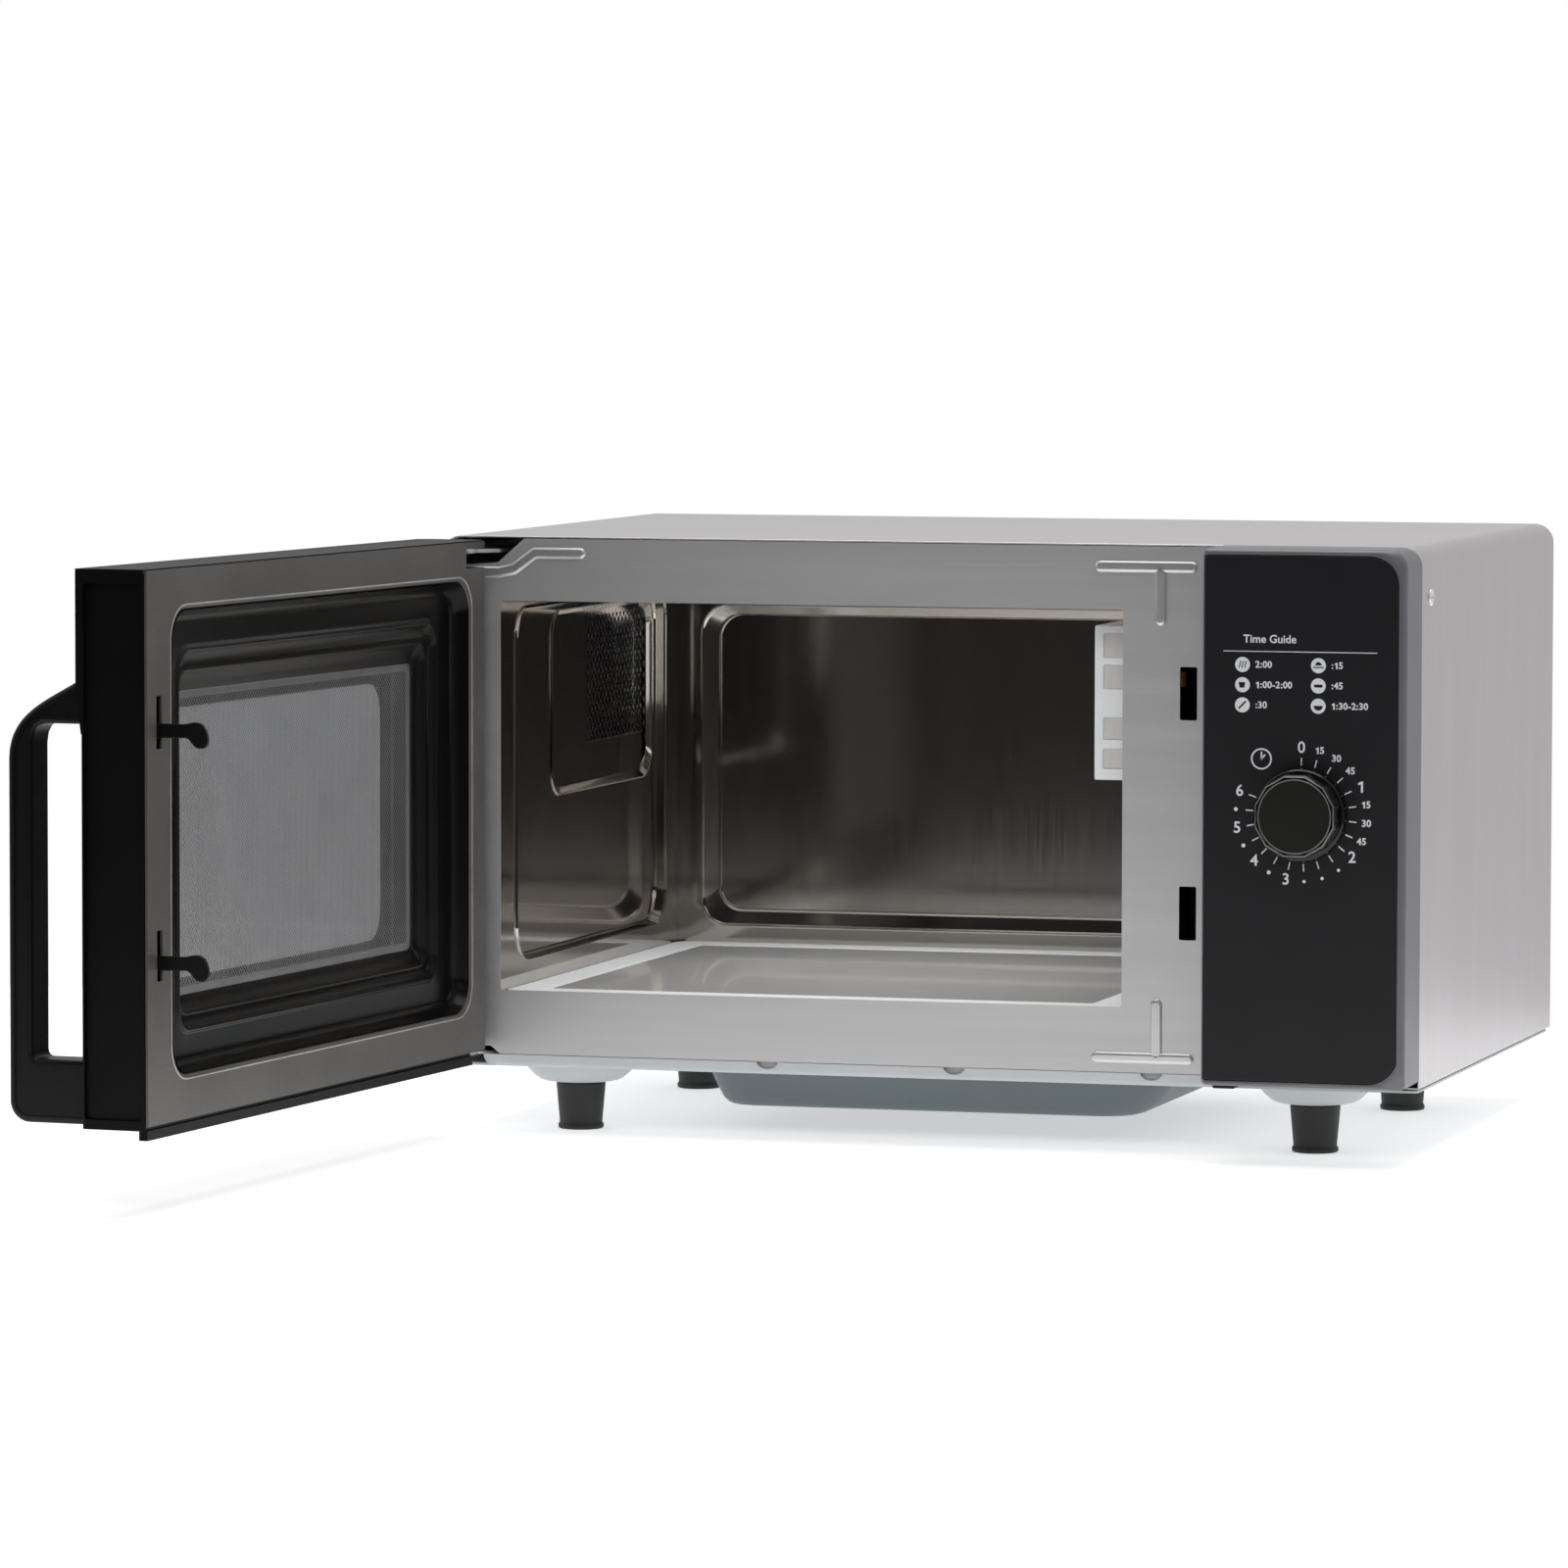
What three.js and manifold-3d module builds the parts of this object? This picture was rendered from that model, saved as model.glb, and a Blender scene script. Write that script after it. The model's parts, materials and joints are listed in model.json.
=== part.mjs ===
// Compact commercial microwave oven with a dial timer, door open.
// Millimetres, +Z up, +X to the right seen from the front, +Y towards the back.
// Cabinet frame: X = 0 at the left side, Y = 0 at the front plate's face, Z = 0 on the worktop.
// The exported group is moved so that its origin is the middle of the whole object's base.
import * as THREE from 'three';
import Module from 'manifold-3d';
import { mergeVertices } from 'three/addons/utils/BufferGeometryUtils.js';

// ---------- driving dimensions ----------
const WIDTH = 511;            // cabinet, left to right
const DEPTH = 344;            // front plate to back panel
const HEIGHT = 307;           // worktop to the top cover
const SHEET = 0.8;            // sheet-metal thickness
const GAP = 0.3;              // clearance between touching pieces
const WRAP_BOTTOM = 37.3;     // lower edge of the outer cover
const WRAP_RADIUS = 10;       // bend along the cover's top edges
const BASE = { bottom: 35, thickness: 1.2 };

const CAVITY = { x0: 31.1, x1: 358.6, y1: 316, z0: 68, z1: 274 };
const OPENING = { z0: 74.3, z1: 274, chamfer: 3.5 };
const TRAY = { z0: 68.3, z1: 73.6, radius: 12 };
const ANTENNA = { x: 195, y: 158, wellHalf: 100, wellBottom: 54, discRadius: 75 };
const LAMP_COVER = { x0: 335, y0: 37, y1: 150, z0: 186, z1: 264 };
const EXHAUST = { y0: 163, y1: 305, z0: 188, z1: 272 };

const PANEL = { x0: 408.2, z0: 40, depth: 38 };
const DIAL = { x: 458.7, z: 175.8 };
const KNOB = { rim: 46.8, grip: 41, face: 36.8, height: 15.5 };

const PIVOT = { x: 10.7, y: -17.8 };
const DOOR = { x0: 2.5, x1: 406, inner: -2, outer: -36, z0: 42.6, z1: 305.4 };
const DOOR_OPEN_DEG = 95;
const RECESS = { x0: 23, x1: 377, z0: 66, z1: 285, radius: 16 };
const WINDOW = { x0: 61, x1: 339, z0: 100, z1: 245, depth: 16 };
const HANDLE = { x0: 377, x1: 397, face: -36.3, outer: -78.5, bar: 12, z0: 43.5, z1: 253 };
const VISOR = { y: -38.7, z: 262, flareX: 366, flareLow: 228, flareHigh: 250 };
const LATCH = { x: 392.4, thickness: 2.4, slotWidth: 3.4, reach: 26, travel: 8 };
const HOOK_NECKS = [120.7, 229.7];       // heights of the two hook necks

const FEET = [
  ['foot_front_left', 61.4, 41.8], ['foot_front_right', 449.2, 41.8],
  ['foot_rear_left', 61.4, 255.3], ['foot_rear_right', 449.2, 255.3],
];

// ---------- materials ----------
const finish = (color, roughness, metalness, extra = {}) =>
  new THREE.MeshStandardMaterial({ color, roughness, metalness, ...extra });
const brushedSteel = finish(0xb9b7b8, 0.38, 1);
const polishedSteel = finish(0x9c968f, 0.22, 1);
const bluePaint = finish(0xc6ced4, 0.45, 0.1);
const panPaint = finish(0x7a858e, 0.5, 0.1);
const blackPlastic = finish(0x1c1b1b, 0.45, 0);
const panelBlack = finish(0x242426, 0.55, 0);
const graphite = finish(0x7f7e85, 0.4, 0.3);
const doorPaint = finish(0x64615f, 0.4, 0.4);
const glossBlack = finish(0x111010, 0.15, 0);
const meshGrey = finish(0x9a9a9c, 0.4, 0.6);
const clearFilm = finish(0xdfe4e6, 0.05, 0, { transparent: true, opacity: 0.25 });
const smokedGlass = finish(0x0c0c0e, 0.08, 0, { transparent: true, opacity: 0.8 });
const whitePlastic = finish(0xd7d7da, 0.4, 0);
const ceramic = finish(0xe4e2dd, 0.2, 0);
const rubberBlack = finish(0x32302e, 0.7, 0);
const zincSteel = finish(0xb9bcc0, 0.35, 1);
const copper = finish(0x9a5a34, 0.4, 0.8);
const laminations = finish(0x4e4c4a, 0.5, 0.7);
const castAluminium = finish(0xa9acb0, 0.45, 1);
const boardGreen = finish(0x2f5b40, 0.5, 0);
const bulbGlass = finish(0xf4ecd8, 0.1, 0, { transparent: true, opacity: 0.5 });
const springSteel = finish(0xa0a0a4, 0.3, 1);

// ---------- solid helpers ----------
const wasm = await Module();
wasm.setup();

// A three.js geometry as a manifold solid.
function solid(geometry) {
  const bare = geometry.clone();
  bare.deleteAttribute('normal');
  bare.deleteAttribute('uv');
  const merged = mergeVertices(bare, 1e-4);
  return new wasm.Manifold(new wasm.Mesh({
    numProp: 3,
    vertProperties: new Float32Array(merged.attributes.position.array),
    triVerts: new Uint32Array(merged.index.array),
  }));
}

// A manifold solid as a three.js geometry with flat faces.
function geometryOf(body) {
  const mesh = body.getMesh();
  const indexed = new THREE.BufferGeometry();
  indexed.setAttribute('position', new THREE.BufferAttribute(new Float32Array(mesh.vertProperties), 3));
  indexed.setIndex(new THREE.BufferAttribute(new Uint32Array(mesh.triVerts), 1));
  const flat = indexed.toNonIndexed();
  flat.computeVertexNormals();
  return flat;
}

const join = (...parts) => parts.slice(1).reduce((sum, part) => sum.add(part), parts[0]);
const cut = (body, ...tools) => tools.reduce((rest, tool) => rest.subtract(tool), body);

function box(x0, x1, y0, y1, z0, z1) {
  const geometry = new THREE.BoxGeometry(x1 - x0, y1 - y0, z1 - z0);
  geometry.translate((x0 + x1) / 2, (y0 + y1) / 2, (z0 + z1) / 2);
  return solid(geometry);
}

// A cylinder or cone along X, Y or Z, from `from` to `to` on that axis.
function rod(axis, a, b, from, to, radius, endRadius = radius, sides = 20) {
  const geometry = new THREE.CylinderGeometry(endRadius, radius, to - from, sides);
  geometry.translate(0, (from + to) / 2, 0);
  if (axis === 'x') geometry.rotateZ(-Math.PI / 2).translate(0, a, b);
  if (axis === 'y') geometry.translate(a, 0, b);
  if (axis === 'z') geometry.rotateX(Math.PI / 2).translate(a, b, 0);
  return solid(geometry);
}

// Rectangle with rounded corners; radii run bottom-left, bottom-right, top-right, top-left.
function roundedShape(x0, x1, z0, z1, radius) {
  const [bl, br, tr, tl] = Array.isArray(radius) ? radius : [radius, radius, radius, radius];
  const shape = new THREE.Shape();
  const quarter = Math.PI / 2;
  shape.absarc(x0 + bl, z0 + bl, bl, 2 * quarter, 3 * quarter);
  shape.absarc(x1 - br, z0 + br, br, 3 * quarter, 4 * quarter);
  shape.absarc(x1 - tr, z1 - tr, tr, 0, quarter);
  shape.absarc(x0 + tl, z1 - tl, tl, quarter, 2 * quarter);
  return shape;
}

function polygon(points) {
  return new THREE.Shape(points.map(([a, b]) => new THREE.Vector2(a, b)));
}

// Extrusions of an outline drawn in XZ, XY or YZ.
function extrudeY(shape, y0, y1, curveSegments = 4) {
  const geometry = new THREE.ExtrudeGeometry(shape, { depth: y1 - y0, bevelEnabled: false, curveSegments });
  geometry.rotateX(Math.PI / 2).translate(0, y1, 0);
  return solid(geometry);
}

function extrudeZ(shape, z0, z1, curveSegments = 4) {
  const geometry = new THREE.ExtrudeGeometry(shape, { depth: z1 - z0, bevelEnabled: false, curveSegments });
  geometry.translate(0, 0, z0);
  return solid(geometry);
}

function extrudeX(shape, x0, x1, curveSegments = 4) {
  const geometry = new THREE.ExtrudeGeometry(shape, { depth: x1 - x0, bevelEnabled: false, curveSegments });
  geometry.applyMatrix4(new THREE.Matrix4().set(0, 0, 1, x0, 1, 0, 0, 0, 0, 1, 0, 0, 0, 0, 0, 1));
  return solid(geometry);
}

// A closed body through rounded rectangles {at, a0, a1, b0, b1, r}, stacked along Z or Y.
function loft(levels, axis = 'z', steps = 4) {
  const positions = [];
  const index = [];
  const perRing = 4 * (steps + 1);
  for (const level of levels) {
    const corners = [
      [level.a1 - level.r, level.b1 - level.r], [level.a0 + level.r, level.b1 - level.r],
      [level.a0 + level.r, level.b0 + level.r], [level.a1 - level.r, level.b0 + level.r],
    ];
    corners.forEach(([a, b], corner) => {
      for (let step = 0; step <= steps; step += 1) {
        const angle = (corner + step / steps) * Math.PI / 2;
        const u = a + level.r * Math.cos(angle);
        const v = b + level.r * Math.sin(angle);
        positions.push(...(axis === 'z' ? [u, v, level.at] : [u, level.at, v]));
      }
    });
  }
  const face = (p, q, r) => index.push(...(axis === 'z' ? [p, q, r] : [p, r, q]));
  for (let ring = 0; ring < levels.length - 1; ring += 1) {
    for (let k = 0; k < perRing; k += 1) {
      const a = ring * perRing + k;
      const b = ring * perRing + (k + 1) % perRing;
      face(a, b, b + perRing);
      face(a, b + perRing, a + perRing);
    }
  }
  const top = (levels.length - 1) * perRing;
  for (let k = 1; k < perRing - 1; k += 1) {
    face(0, k + 1, k);
    face(top, top + k, top + k + 1);
  }
  const geometry = new THREE.BufferGeometry();
  geometry.setAttribute('position', new THREE.Float32BufferAttribute(positions, 3));
  geometry.setIndex(index);
  return solid(geometry);
}

const oven = new THREE.Group();
const cabinet = new THREE.Group();
oven.add(cabinet);

function place(parent, name, material, body) {
  const mesh = new THREE.Mesh(geometryOf(body), material);
  mesh.name = name;
  parent.add(mesh);
  return mesh;
}

// ---------- cabinet shell ----------
function outerWrap() {
  const radius = WRAP_RADIUS;
  const outside = roundedShape(0, WIDTH, 0, HEIGHT, [0.01, 0.01, radius, radius]);
  const inside = roundedShape(SHEET, WIDTH - SHEET, -5, HEIGHT - SHEET,
    [0.01, 0.01, radius - SHEET, radius - SHEET]);
  const shell = cut(extrudeY(outside, 0, DEPTH, 5), extrudeY(inside, -1, DEPTH + 1, 5));
  const below = box(-1, WIDTH + 1, -1, DEPTH + 1, -6, WRAP_BOTTOM);
  const sideHoles = [-1, WIDTH - 2].map((x) => rod('x', 20, 281.5, x, x + 3, 2.6, 2.6, 12));
  return cut(shell, below, ...sideHoles);
}

const inner = SHEET + GAP;            // clearance of what sits inside the cover

function frontPlate() {
  const corner = WRAP_RADIUS - inner;
  const notch = { x: 34, z: 297.5, topX: 43.7 };
  const plate = roundedShape(inner, WIDTH - inner, 41.5, HEIGHT - inner, [2, 2, corner, 2]);
  const c = OPENING.chamfer;
  plate.holes.push(polygon([
    [CAVITY.x0 + c, OPENING.z0], [CAVITY.x1 - c, OPENING.z0], [CAVITY.x1, OPENING.z0 + c],
    [CAVITY.x1, OPENING.z1 - c], [CAVITY.x1 - c, OPENING.z1], [CAVITY.x0 + c, OPENING.z1],
    [CAVITY.x0, OPENING.z1 - c], [CAVITY.x0, OPENING.z0 + c],
  ]));
  plate.holes.push(roundedShape(388, 396.8, 219.1, 245.8, 1), roundedShape(388, 396.8, 108.8, 135.8, 1));
  plate.holes.push(roundedShape(420, 500, 62, 288, 6));
  const hingeNotch = polygon([
    [-1, notch.z], [notch.x, notch.z], [notch.topX, HEIGHT + 1], [-1, HEIGHT + 1],
  ]);
  const lowerNotch = polygon([[-1, 40], [35, 40], [35, 41.8], [31, 45.5], [-1, 45.5]]);
  return cut(extrudeY(plate, 0, 0.9), extrudeY(hingeNotch, -1, 2), extrudeY(lowerNotch, -1, 2));
}

function rearPanel() {
  const corner = WRAP_RADIUS - inner;
  const panel = roundedShape(inner, WIDTH - inner, BASE.bottom + BASE.thickness + GAP, HEIGHT - inner,
    [1, 1, corner, corner]);
  const slot = (x, z, w, h) => box(x - w / 2, x + w / 2, DEPTH - 3, DEPTH + 1, z - h / 2, z + h / 2);
  const slots = [];
  for (let row = 0; row < 9; row += 1) {
    for (const column of [-1.5, -0.5, 0.5, 1.5]) slots.push(slot(437 + column * 25, 187 + row * 10, 19, 4));
  }
  for (let row = 0; row < 7; row += 1) slots.push(slot(17, 200 + row * 10, 18, 4));
  const cordHole = rod('y', 455, 75, DEPTH - 3, DEPTH + 1, 7.5);
  return cut(extrudeY(panel, DEPTH - 0.9, DEPTH), ...slots, cordHole);
}

function basePlate() {
  const { bottom, thickness } = BASE;
  const x0 = inner + 0.3;
  const x1 = WIDTH - inner - 0.3;
  const y1 = DEPTH - 1.3;
  const plate = extrudeZ(roundedShape(x0, x1, 0.2, y1, 3), bottom, bottom + thickness);
  const frontFlange = box(38, 405, 0.2, 1.4, bottom, 41.2);
  const panHole = extrudeZ(roundedShape(142, 346, 56, 259, 20), bottom - 1, bottom + 3);
  const bosses = FEET.map(([, x, y]) => cut(
    rod('z', x, y, 25, bottom + thickness, 17.5, 30, 20),
    rod('z', x, y, 25 + thickness, bottom + thickness + 0.1, 16.3, 28.8, 20)));
  const bossHoles = FEET.map(([, x, y]) => rod('z', x, y, bottom - 1, bottom + 3, 28.4, 28.4, 20));
  return join(cut(join(plate, frontFlange), panHole, ...bossHoles), ...bosses);
}

function antennaPan() {
  const lip = BASE.bottom - GAP;
  const outside = loft([
    { at: 12, a0: 136, a1: 346, b0: 62, b1: 253, r: 18 },
    { at: 14, a0: 131, a1: 351, b0: 57, b1: 258, r: 22 },
    { at: 30, a0: 124, a1: 369, b0: 45, b1: 270, r: 28 },
    { at: lip - 1.2, a0: 123, a1: 371, b0: 43, b1: 272, r: 30 },
    { at: lip, a0: 123, a1: 371, b0: 43, b1: 272, r: 30 },
  ]);
  const inside = loft([
    { at: 13.2, a0: 137, a1: 345, b0: 63, b1: 252, r: 17 },
    { at: 15.2, a0: 132, a1: 350, b0: 58, b1: 257, r: 21 },
    { at: 30.4, a0: 125.4, a1: 367.6, b0: 46.4, b1: 268.6, r: 27 },
    { at: lip + 1, a0: 124.6, a1: 369.4, b0: 44.6, b1: 270.4, r: 28.6 },
  ]);
  return cut(outside, inside);
}

function foot(x, y) {
  const profile = [[0, 0], [11.4, 0], [11.8, 0.8], [11.8, 2.2], [11, 3], [12.8, 23.2], [12.2, 24.7], [0, 24.7]];
  const points = profile.map(([radius, z]) => new THREE.Vector2(radius, z));
  return solid(new THREE.LatheGeometry(points, 20).rotateX(Math.PI / 2).translate(x, y, 0));
}

// ---------- oven cavity ----------
const wallY0 = 0.9 + GAP;             // the walls start just behind the front plate

function leftWall() {
  const x = CAVITY.x0;
  const wall = box(x - SHEET, x, wallY0, CAVITY.y1 - GAP, CAVITY.z0, CAVITY.z1 - GAP);
  return cut(wall, box(x - 3, x + 3, EXHAUST.y0, EXHAUST.y1, EXHAUST.z0, EXHAUST.z1 - 3));
}

function exhaustScreen() {
  const x = CAVITY.x0;
  const margin = GAP;
  const screen = box(x - SHEET, x, EXHAUST.y0 + margin, EXHAUST.y1 - margin,
    EXHAUST.z0 + margin, EXHAUST.z1 - 3 - margin);
  const holes = [];
  for (let row = 0; row < 4; row += 1) {
    for (let column = 0; column < 7; column += 1) {
      const y = EXHAUST.y0 + 14 + column * 19;
      const z = EXHAUST.z0 + 13 + row * 18;
      holes.push(box(x - 3, x + 3, y - 6, y + 6, z - 5, z + 5));
    }
  }
  return cut(screen, ...holes);
}

function rightWall() {
  const x = CAVITY.x1;
  const wall = box(x, x + SHEET, wallY0, CAVITY.y1 - GAP, CAVITY.z0, CAVITY.z1 - GAP);
  return cut(wall, box(x - 3, x + 3, 45, 140, 195, 255));
}

const ceiling = () => box(CAVITY.x0 - SHEET, CAVITY.x1 + SHEET, wallY0, CAVITY.y1 - GAP,
  CAVITY.z1, CAVITY.z1 + SHEET);

const rearWall = () => box(CAVITY.x0 - SHEET, CAVITY.x1 + SHEET, CAVITY.y1, CAVITY.y1 + SHEET,
  CAVITY.z0, CAVITY.z1 + SHEET);

function cavityFloor() {
  const top = CAVITY.z0 - GAP;
  const { x, y, wellHalf: half, wellBottom } = ANTENNA;
  const sheet = box(CAVITY.x0 - SHEET, CAVITY.x1 + SHEET, wallY0, CAVITY.y1 + SHEET, top - SHEET, top);
  const side = (at, grow, r) => ({ at, a0: x - half - grow, a1: x + half + grow,
    b0: y - half - grow, b1: y + half + grow, r });
  const wellOutside = loft([side(wellBottom, -6, 20), side(top - 0.1, 0, 26)]);
  const wellInside = loft([side(wellBottom + SHEET, -6.8, 19.2), side(top + 1, -0.6, 25.4)]);
  return cut(join(sheet, wellOutside), wellInside, rod('z', x, y, wellBottom - 1, wellBottom + 2, 13));
}

const ceramicTray = () => extrudeZ(roundedShape(CAVITY.x0 + GAP, CAVITY.x1 - GAP, wallY0,
  CAVITY.y1 - GAP, TRAY.radius), TRAY.z0, TRAY.z1, 3);

function lampCover() {
  const { x0, y0, y1, z0, z1 } = LAMP_COVER;
  const x1 = CAVITY.x1 - GAP;
  const shell = cut(box(x0, x1, y0, y1, z0, z1), box(x0 + 1.6, x1 + 1, y0 + 1.6, y1 - 1.6, z0 + 1.6, z1 - 1.6));
  const vents = [0, 1, 2, 3].map((k) => box(x0 + 6, x0 + 17, y0 + 20 + k * 22, y0 + 32 + k * 22, z1 - 4, z1 + 1));
  return cut(shell, ...vents);
}

function lampBulb() {
  const profile = [[0, 0], [4.5, 0], [4.5, 10], [9, 18], [10, 26], [8, 31], [4, 34], [0, 35]];
  const points = profile.map(([radius, along]) => new THREE.Vector2(radius, along));
  const geometry = new THREE.LatheGeometry(points, 14).rotateZ(Math.PI / 2).translate(378, 85, 225);
  return solid(geometry);
}

const lampSocket = () => cut(box(368, 384, 73, 97, 213, 237), rod('x', 85, 225, 367, 380, 10.6));

function exhaustDuct() {
  const duct = box(4, CAVITY.x0 - SHEET - GAP, 157, DEPTH - 1.5, 182, 274);
  return cut(duct, box(5.2, 32, 158.2, DEPTH + 1, 183.2, 272.8));
}

// ---------- microwave generator ----------
function waveguide() {
  const z0 = BASE.bottom + BASE.thickness + 0.8;
  const z1 = ANTENNA.wellBottom - GAP;
  const outside = box(152, 452, 118, 198, z0, z1);
  const inside = box(153, 451, 119, 197, z0 + 1, z1 - 1);
  const feedHole = rod('z', ANTENNA.x, ANTENNA.y, z1 - 3, z1 + 1, 12);
  const motorHole = rod('z', ANTENNA.x, ANTENNA.y, z0 - 1, z0 + 3, 6);
  const magnetronHole = rod('z', 430, 158, z1 - 3, z1 + 1, 13);
  return cut(outside, inside, feedHole, motorHole, magnetronHole);
}

function antennaRotor() {
  const { x, y, discRadius } = ANTENNA;
  const disc = rod('z', x, y, 58, 59.2, discRadius, discRadius, 36);
  const windows = [0, 1, 2].map((k) => {
    const angle = k * 2 * Math.PI / 3;
    const sector = new THREE.Shape();
    sector.absarc(x, y, discRadius - 12, angle, angle + 1.3, false);
    sector.absarc(x, y, 26, angle + 1.3, angle, true);
    return extrudeZ(sector, 57, 60, 6);
  });
  return join(cut(disc, ...windows), rod('z', x, y, 28, 58.5, 4, 4, 16));
}

function antennaMotor() {
  const { x, y } = ANTENNA;
  const motor = join(rod('z', x, y, 15, 33, 24, 24, 24), box(x - 32, x + 32, y - 6, y + 6, 31.5, 33));
  return cut(motor, rod('z', x, y, 27, 34, 4.6, 4.6, 16));
}

function magnetron() {
  const core = box(384, 474, 122, 194, 56, 96);
  const fins = [0, 1, 2, 3, 4].map((k) => box(388, 470, 126, 190, 60 + k * 7 + 38, 61.5 + k * 7 + 38));
  const post = rod('z', 430, 158, 95, 130, 20, 20, 16);
  const topYoke = box(384, 474, 122, 194, 129, 131);
  const sideYokes = [384, 472].map((x) => box(x, x + 2, 122, 194, 95, 130));
  const antennaDome = rod('z', 430, 158, 42, 57, 8, 9, 16);
  const filterBox = box(405, 455, 130, 186, 130.5, 150);
  return join(core, ...fins, post, topYoke, ...sideYokes, antennaDome, filterBox);
}

const transformerCore = () => {
  const block = box(378, 480, 215, 275, 38, 116);
  const windows = [[396, 414], [444, 462]].map(([x0, x1]) => box(x0, x1, 214, 276, 56, 98));
  const bracket = box(370, 488, 215, 275, 36.6, 38.5);
  return cut(join(block, bracket), ...windows);
};

function transformerWinding() {
  const ring = (x0, x1, y0, y1, r) => roundedShape(x0, x1, y0, y1, r);
  const coil = ring(396.5, 461.5, 197, 293, 14);
  coil.holes.push(ring(413.7, 444.3, 214.6, 275.4, 0.5));
  return extrudeZ(coil, 57, 97, 3);
}

const capacitor = () => join(
  extrudeZ(roundedShape(415, 467, 64, 98, 16.9), BASE.bottom + BASE.thickness + GAP, 122, 5),
  box(430, 433, 78, 84, 121, 130), box(449, 452, 78, 84, 121, 130));

const diode = () => join(rod('y', 480, 66, 66, 90, 4, 4, 12), box(476, 484, 66, 67.5, 58, 66));

// ---------- cooling fan ----------
const FAN = { x: 437, z: 227, radius: 49 };

function fanShroud() {
  const { x, z, radius } = FAN;
  const y1 = DEPTH - 1.2;
  const frame = box(x - 62, x + 62, y1 - 26, y1, z - 60, z + 60);
  const hole = rod('y', x, z, y1 - 30, y1 + 2, radius + 3, radius + 3, 28);
  const arms = [-1, 1].map((side) => box(x + side * 56 - 4, x + side * 56 + 4, y1 - 56, y1 - 25, z - 8, z + 8));
  return join(cut(frame, hole), ...arms);
}

function fanMotor() {
  const { x, z } = FAN;
  const y1 = DEPTH - 1.2 - 30;
  const body = join(box(x - 24, x + 24, y1 - 18, y1, z - 24, z + 24), rod('y', x, z, y1 - 26, y1 - 17, 14));
  const strap = box(x - 51.5, x + 51.5, y1 - 10, y1 - 8, z - 7, z + 7);
  return cut(join(body, strap), rod('y', x, z, y1 - 14, y1 + 1, 3.2, 3.2, 12));
}

function fanBlade() {
  const { x, z, radius } = FAN;
  const y = DEPTH - 14;
  const hub = join(rod('y', x, z, y - 9, y + 8, 13, 12, 20), rod('y', x, z, y - 30, y - 8, 2.6, 2.6, 12));
  const blades = [0, 1, 2, 3, 4].map((k) => {
    const blade = new THREE.BoxGeometry(radius - 10, 1.6, 26).translate((radius - 10) / 2 + 9, 0, 0);
    blade.rotateX(0.5).rotateY(k * 2 * Math.PI / 5).translate(x, y, z);
    return solid(blade);
  });
  return join(hub, ...blades);
}

// ---------- control panel ----------
function controlHousing() {
  const { x0, z0, depth } = PANEL;
  const outline = (grow) => roundedShape(x0 - grow, WIDTH + grow, z0 - grow, HEIGHT + grow,
    [3 + grow, 10 + grow, 10 + grow, 3 + grow]);
  const block = extrudeY(outline(0), -depth, -GAP, 5);
  const hollow = extrudeY(outline(-2.2), -depth + 3.6, 1, 5);
  const facePocket = extrudeY(roundedShape(x0 + 1.4, WIDTH - 4.6, z0 + 2.6, HEIGHT - 3,
    [2, 16, 16, 2]), -depth - 1, -depth + 1.4, 5);
  const shaftHole = rod('y', DIAL.x, DIAL.z, -depth - 1, -depth + 5, 5);
  return cut(block, hollow, facePocket, shaftHole);
}

function controlOverlay() {
  const { x0, z0, depth } = PANEL;
  const face = roundedShape(x0 + 1.7, WIDTH - 4.9, z0 + 2.9, HEIGHT - 3.3, [1.7, 15.7, 15.7, 1.7]);
  return cut(extrudeY(face, -depth, -depth + 1.1, 5), rod('y', DIAL.x, DIAL.z, -depth - 1, -depth + 2, 5));
}

function timerKnob() {
  const back = -PANEL.depth - 0.5;
  const rim = rod('y', DIAL.x, DIAL.z, back - 4.5, back, KNOB.rim / 2 - 0.6, KNOB.rim / 2, 36);
  const grip = rod('y', DIAL.x, DIAL.z, back - KNOB.height + 2, back - 4, KNOB.grip / 2, KNOB.grip / 2, 12);
  const face = rod('y', DIAL.x, DIAL.z, back - KNOB.height, back - KNOB.height + 2.2,
    KNOB.face / 2, KNOB.grip / 2, 12);
  return cut(join(rim, grip, face), rod('y', DIAL.x, DIAL.z, back - 10, back + 1, 3.4, 3.4, 12));
}

const timerShaft = () => rod('y', DIAL.x, DIAL.z, -PANEL.depth - 10, -22, 3, 3, 12);

function timerUnit() {
  const body = box(DIAL.x - 26, DIAL.x + 26, -34, -6, DIAL.z - 26, DIAL.z + 26);
  const bell = rod('y', DIAL.x, DIAL.z, -6.5, -3, 18, 16, 20);
  return cut(join(body, bell), rod('y', DIAL.x, DIAL.z, -35, -20, 3.8, 3.8, 12));
}

const panelClip = () => box(409, 420, -14, -3, 36.3, PANEL.z0 - GAP);

function filterBoard() {
  const y = 4;
  const board = box(425, 495, y, y + 1.6, 220, 285);
  const fuse = box(430, 460, y + 1.5, y + 9, 272, 279);
  const coil = rod('y', 475, 262, y + 1.5, y + 20, 10, 10, 16);
  const terminals = box(432, 462, y + 1.5, y + 14, 226, 240);
  return join(board, fuse, coil, terminals);
}

// ---------- door latch switches ----------
const HOOK_HEADS = HOOK_NECKS.map((z) => z - 2);
const SWITCHES = [
  ['primary_switch', HOOK_HEADS[0] - 5.7], ['monitor_switch', HOOK_HEADS[0] + 5.7],
  ['secondary_switch', HOOK_HEADS[1]],
];
const SWITCH_Y = 37;

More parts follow.
